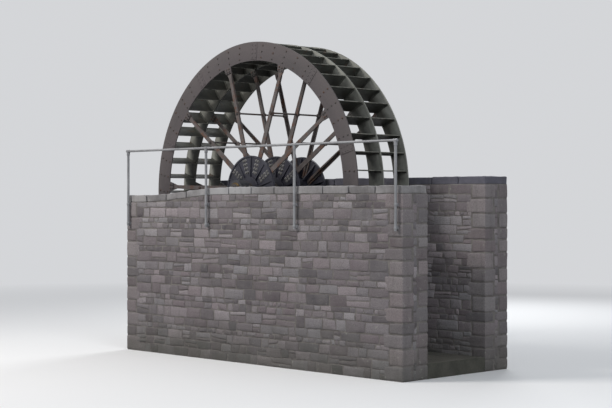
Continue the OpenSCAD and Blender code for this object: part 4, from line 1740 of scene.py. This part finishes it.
rail_lo, rail_hi = box("guard_rail")
rail_r = (rail_hi[2] - rail_lo[2]) / 2
rail_y = (rail_lo[1] + rail_hi[1]) / 2
rail_z = (rail_lo[2] + rail_hi[2]) / 2
post_x = np.linspace(wall_lo[0] + POST_MARGIN, wall_hi[0] - POST_MARGIN, POST_N)


def at_posts(z):
    """The places at height z on the axis of each post."""
    return np.stack(np.broadcast_arrays(post_x, rail_y, z), -1)


sleeve = turned(20, rail_r + np.array([0.003, 0.007, 0.007, 0.003]), [-0.045, -0.040, 0.040, 0.045])
socket = turned(20, POST_R + np.array([0.003, 0.007, 0.007]), [-0.085, -0.080, -0.012])
band = turned(20, POST_R + np.array([0.004, 0.006, 0.006, 0.004]), [-0.022, -0.018, 0.018, 0.022])
fittings = [repeat(sleeve, at_posts(rail_z), Y_WAY, Z_WAY, X_WAY),
            repeat(socket, at_posts(rail_z), *UPRIGHT)]
fittings += [repeat(band, at_posts(AXLE[2] - drop), *UPRIGHT) for drop in CLIP_DROPS]
surface("rail_fittings", join(*fittings), "galvanised", "pit", "rail_steel")

# %% [markdown]
# ## Camera
#
# The photograph was taken from the front right, level with the shaft and about
# 26 m away. A nearer camera with a short lens could show the wheel as large, but
# the rings would overlap in another way. So the camera stands at that same place,
# with a longer lens that fills the picture.

# %% Camera
CAMERA_OFFSET = np.array([7.173, -6.470, -0.080])
AIM = Vector((0.05, 0.0, 2.86))
LENS = 84.0
SENSOR_W = 36.0


def look_at(item, target):
    """Turns an object so that its -Z points at the target and its +Y up."""
    item.rotation_euler = (Vector(target) - item.location).to_track_quat("-Z", "Y").to_euler()


near_centre = np.array([AXLE[0], NEAR_OUT, AXLE[2]])
camera = add_object("camera", bpy.data.cameras.new("camera"))
camera.data.sensor_width = SENSOR_W
camera.data.lens = LENS
camera.location = Vector(near_centre + CAMERA_OFFSET * WHEEL_R)
look_at(camera, AIM)
bpy.context.scene.camera = camera
print("camera", [round(v, 2) for v in camera.location], "lens", LENS)

# %% [markdown]
# ## Light
#
# Soft light shows form without hard shadows. A sun would be quicker to set up,
# but its shadows have hard edges. Three broad lamps are softer: one high at the
# front left, a weaker one at the right and one behind, over a dim sky. Together
# they are only as strong as makes a colour render about as it is written.

# %% Set the lamps
LAMPS = {
    "high_left": ((-6.0, -13.0, 14.0), (0, 0, 2.5), 5.0, 2200.0, (1.0, 0.965, 0.93)),
    "low_right": ((14.0, -7.0, 10.0), (0, 0, 2.0), 7.0, 950.0, (0.93, 0.965, 1.0)),
    "behind": ((-7.0, 14.0, 9.0), (0, 0, 2.0), 7.0, 1300.0, (0.96, 0.98, 1.0))}
for name, (place, target, size, power, color) in LAMPS.items():
    lamp = add_object(name, bpy.data.lights.new(name, "AREA"))
    lamp.data.size = size
    lamp.data.energy = power
    lamp.data.color = color
    lamp.location = place
    look_at(lamp, target)
print("lamps:", ", ".join(LAMPS))

# %% [markdown]
# ## Two skies
#
# A studio has a pale backdrop, but a white room all round would light the wheel
# as well. So the background is a second sky that only the camera sees, straight
# or in a reflection, while the dim one gives the light. The Light Path node
# tells the two kinds of ray apart.

# %% Make the sky
HORIZON = (0.66, 0.67, 0.69)
SKY_COLOR = (0.88, 0.93, 1.0)
SKY_STRENGTH = 0.34


def seen_directly(tree):
    """1 for what the camera sees, straight, in a reflection or through glass,
    and 0 for light on its way to the wheel."""
    path = put(tree, "LightPath").outputs
    straight = sums(tree, "MAXIMUM", path["Is Camera Ray"], path["Is Glossy Ray"])
    return sums(tree, "MAXIMUM", straight, path["Is Transmission Ray"])


def mix_surfaces(tree, factor, first, second, output):
    """Feeds the output with the first shader where factor is 0, and the second
    where it is 1."""
    both = put(tree, "MixShader", None, in_0=factor, in_1=first.outputs[0], in_2=second.outputs[0])
    feed(tree, tree.nodes[output].inputs["Surface"], both.outputs[0])


world = bpy.data.worlds.new("studio")
world.use_nodes = True
bpy.context.scene.world = world
air = world.node_tree
light_sky = air.nodes["Background"]
feed(air, light_sky.inputs["Color"], SKY_COLOR)
feed(air, light_sky.inputs["Strength"], SKY_STRENGTH)
pale_sky = put(air, "Background", None, Color=HORIZON, Strength=1.0)
mix_surfaces(air, seen_directly(air), light_sky, pale_sky, "World Output")
print("sky strength", SKY_STRENGTH)

# %% [markdown]
# ## The floor
#
# The wheel stands on a plain pale floor that takes its shadow. A curved backdrop
# is the usual way to hide the horizon, but it would cross other views. This floor
# is flat and wide, and with distance it fades to the grey of the sky.

# %% Make the floor
FLOOR_HALF = 60.0
FLOOR_Z = -0.001
FADE_FROM, FADE_TO = 7.0, 26.0
tree, shader, where = new_material("pale_floor", Roughness=0.95)
seen = seen_directly(tree)
feed(tree, shader.inputs["Base Color"], blend(tree, seen, (0.24, 0.24, 0.23), (0.82, 0.82, 0.82)))
away = put(tree, "VectorMath", {"operation": "LENGTH"}, in_0=where).outputs["Value"]
haze = put(tree, "Emission", None, Color=HORIZON, Strength=1.0)
fade = times(tree, ramp(tree, away, FADE_FROM, FADE_TO), seen)
mix_surfaces(tree, fade, shader, haze, "Material Output")

floor_mesh = bpy.data.meshes.new("floor")
floor_mesh.from_pydata([(x * FLOOR_HALF, y * FLOOR_HALF, FLOOR_Z)
                        for x, y in ((-1, -1), (1, -1), (1, 1), (-1, 1))], [], [(0, 1, 2, 3)])
floor_mesh.materials.append(PALETTE["pale_floor"])
floor = add_object("floor", floor_mesh)
bpy.context.scene.view_settings.view_transform = "Standard"
print("floor", 2 * FLOOR_HALF, "m wide")
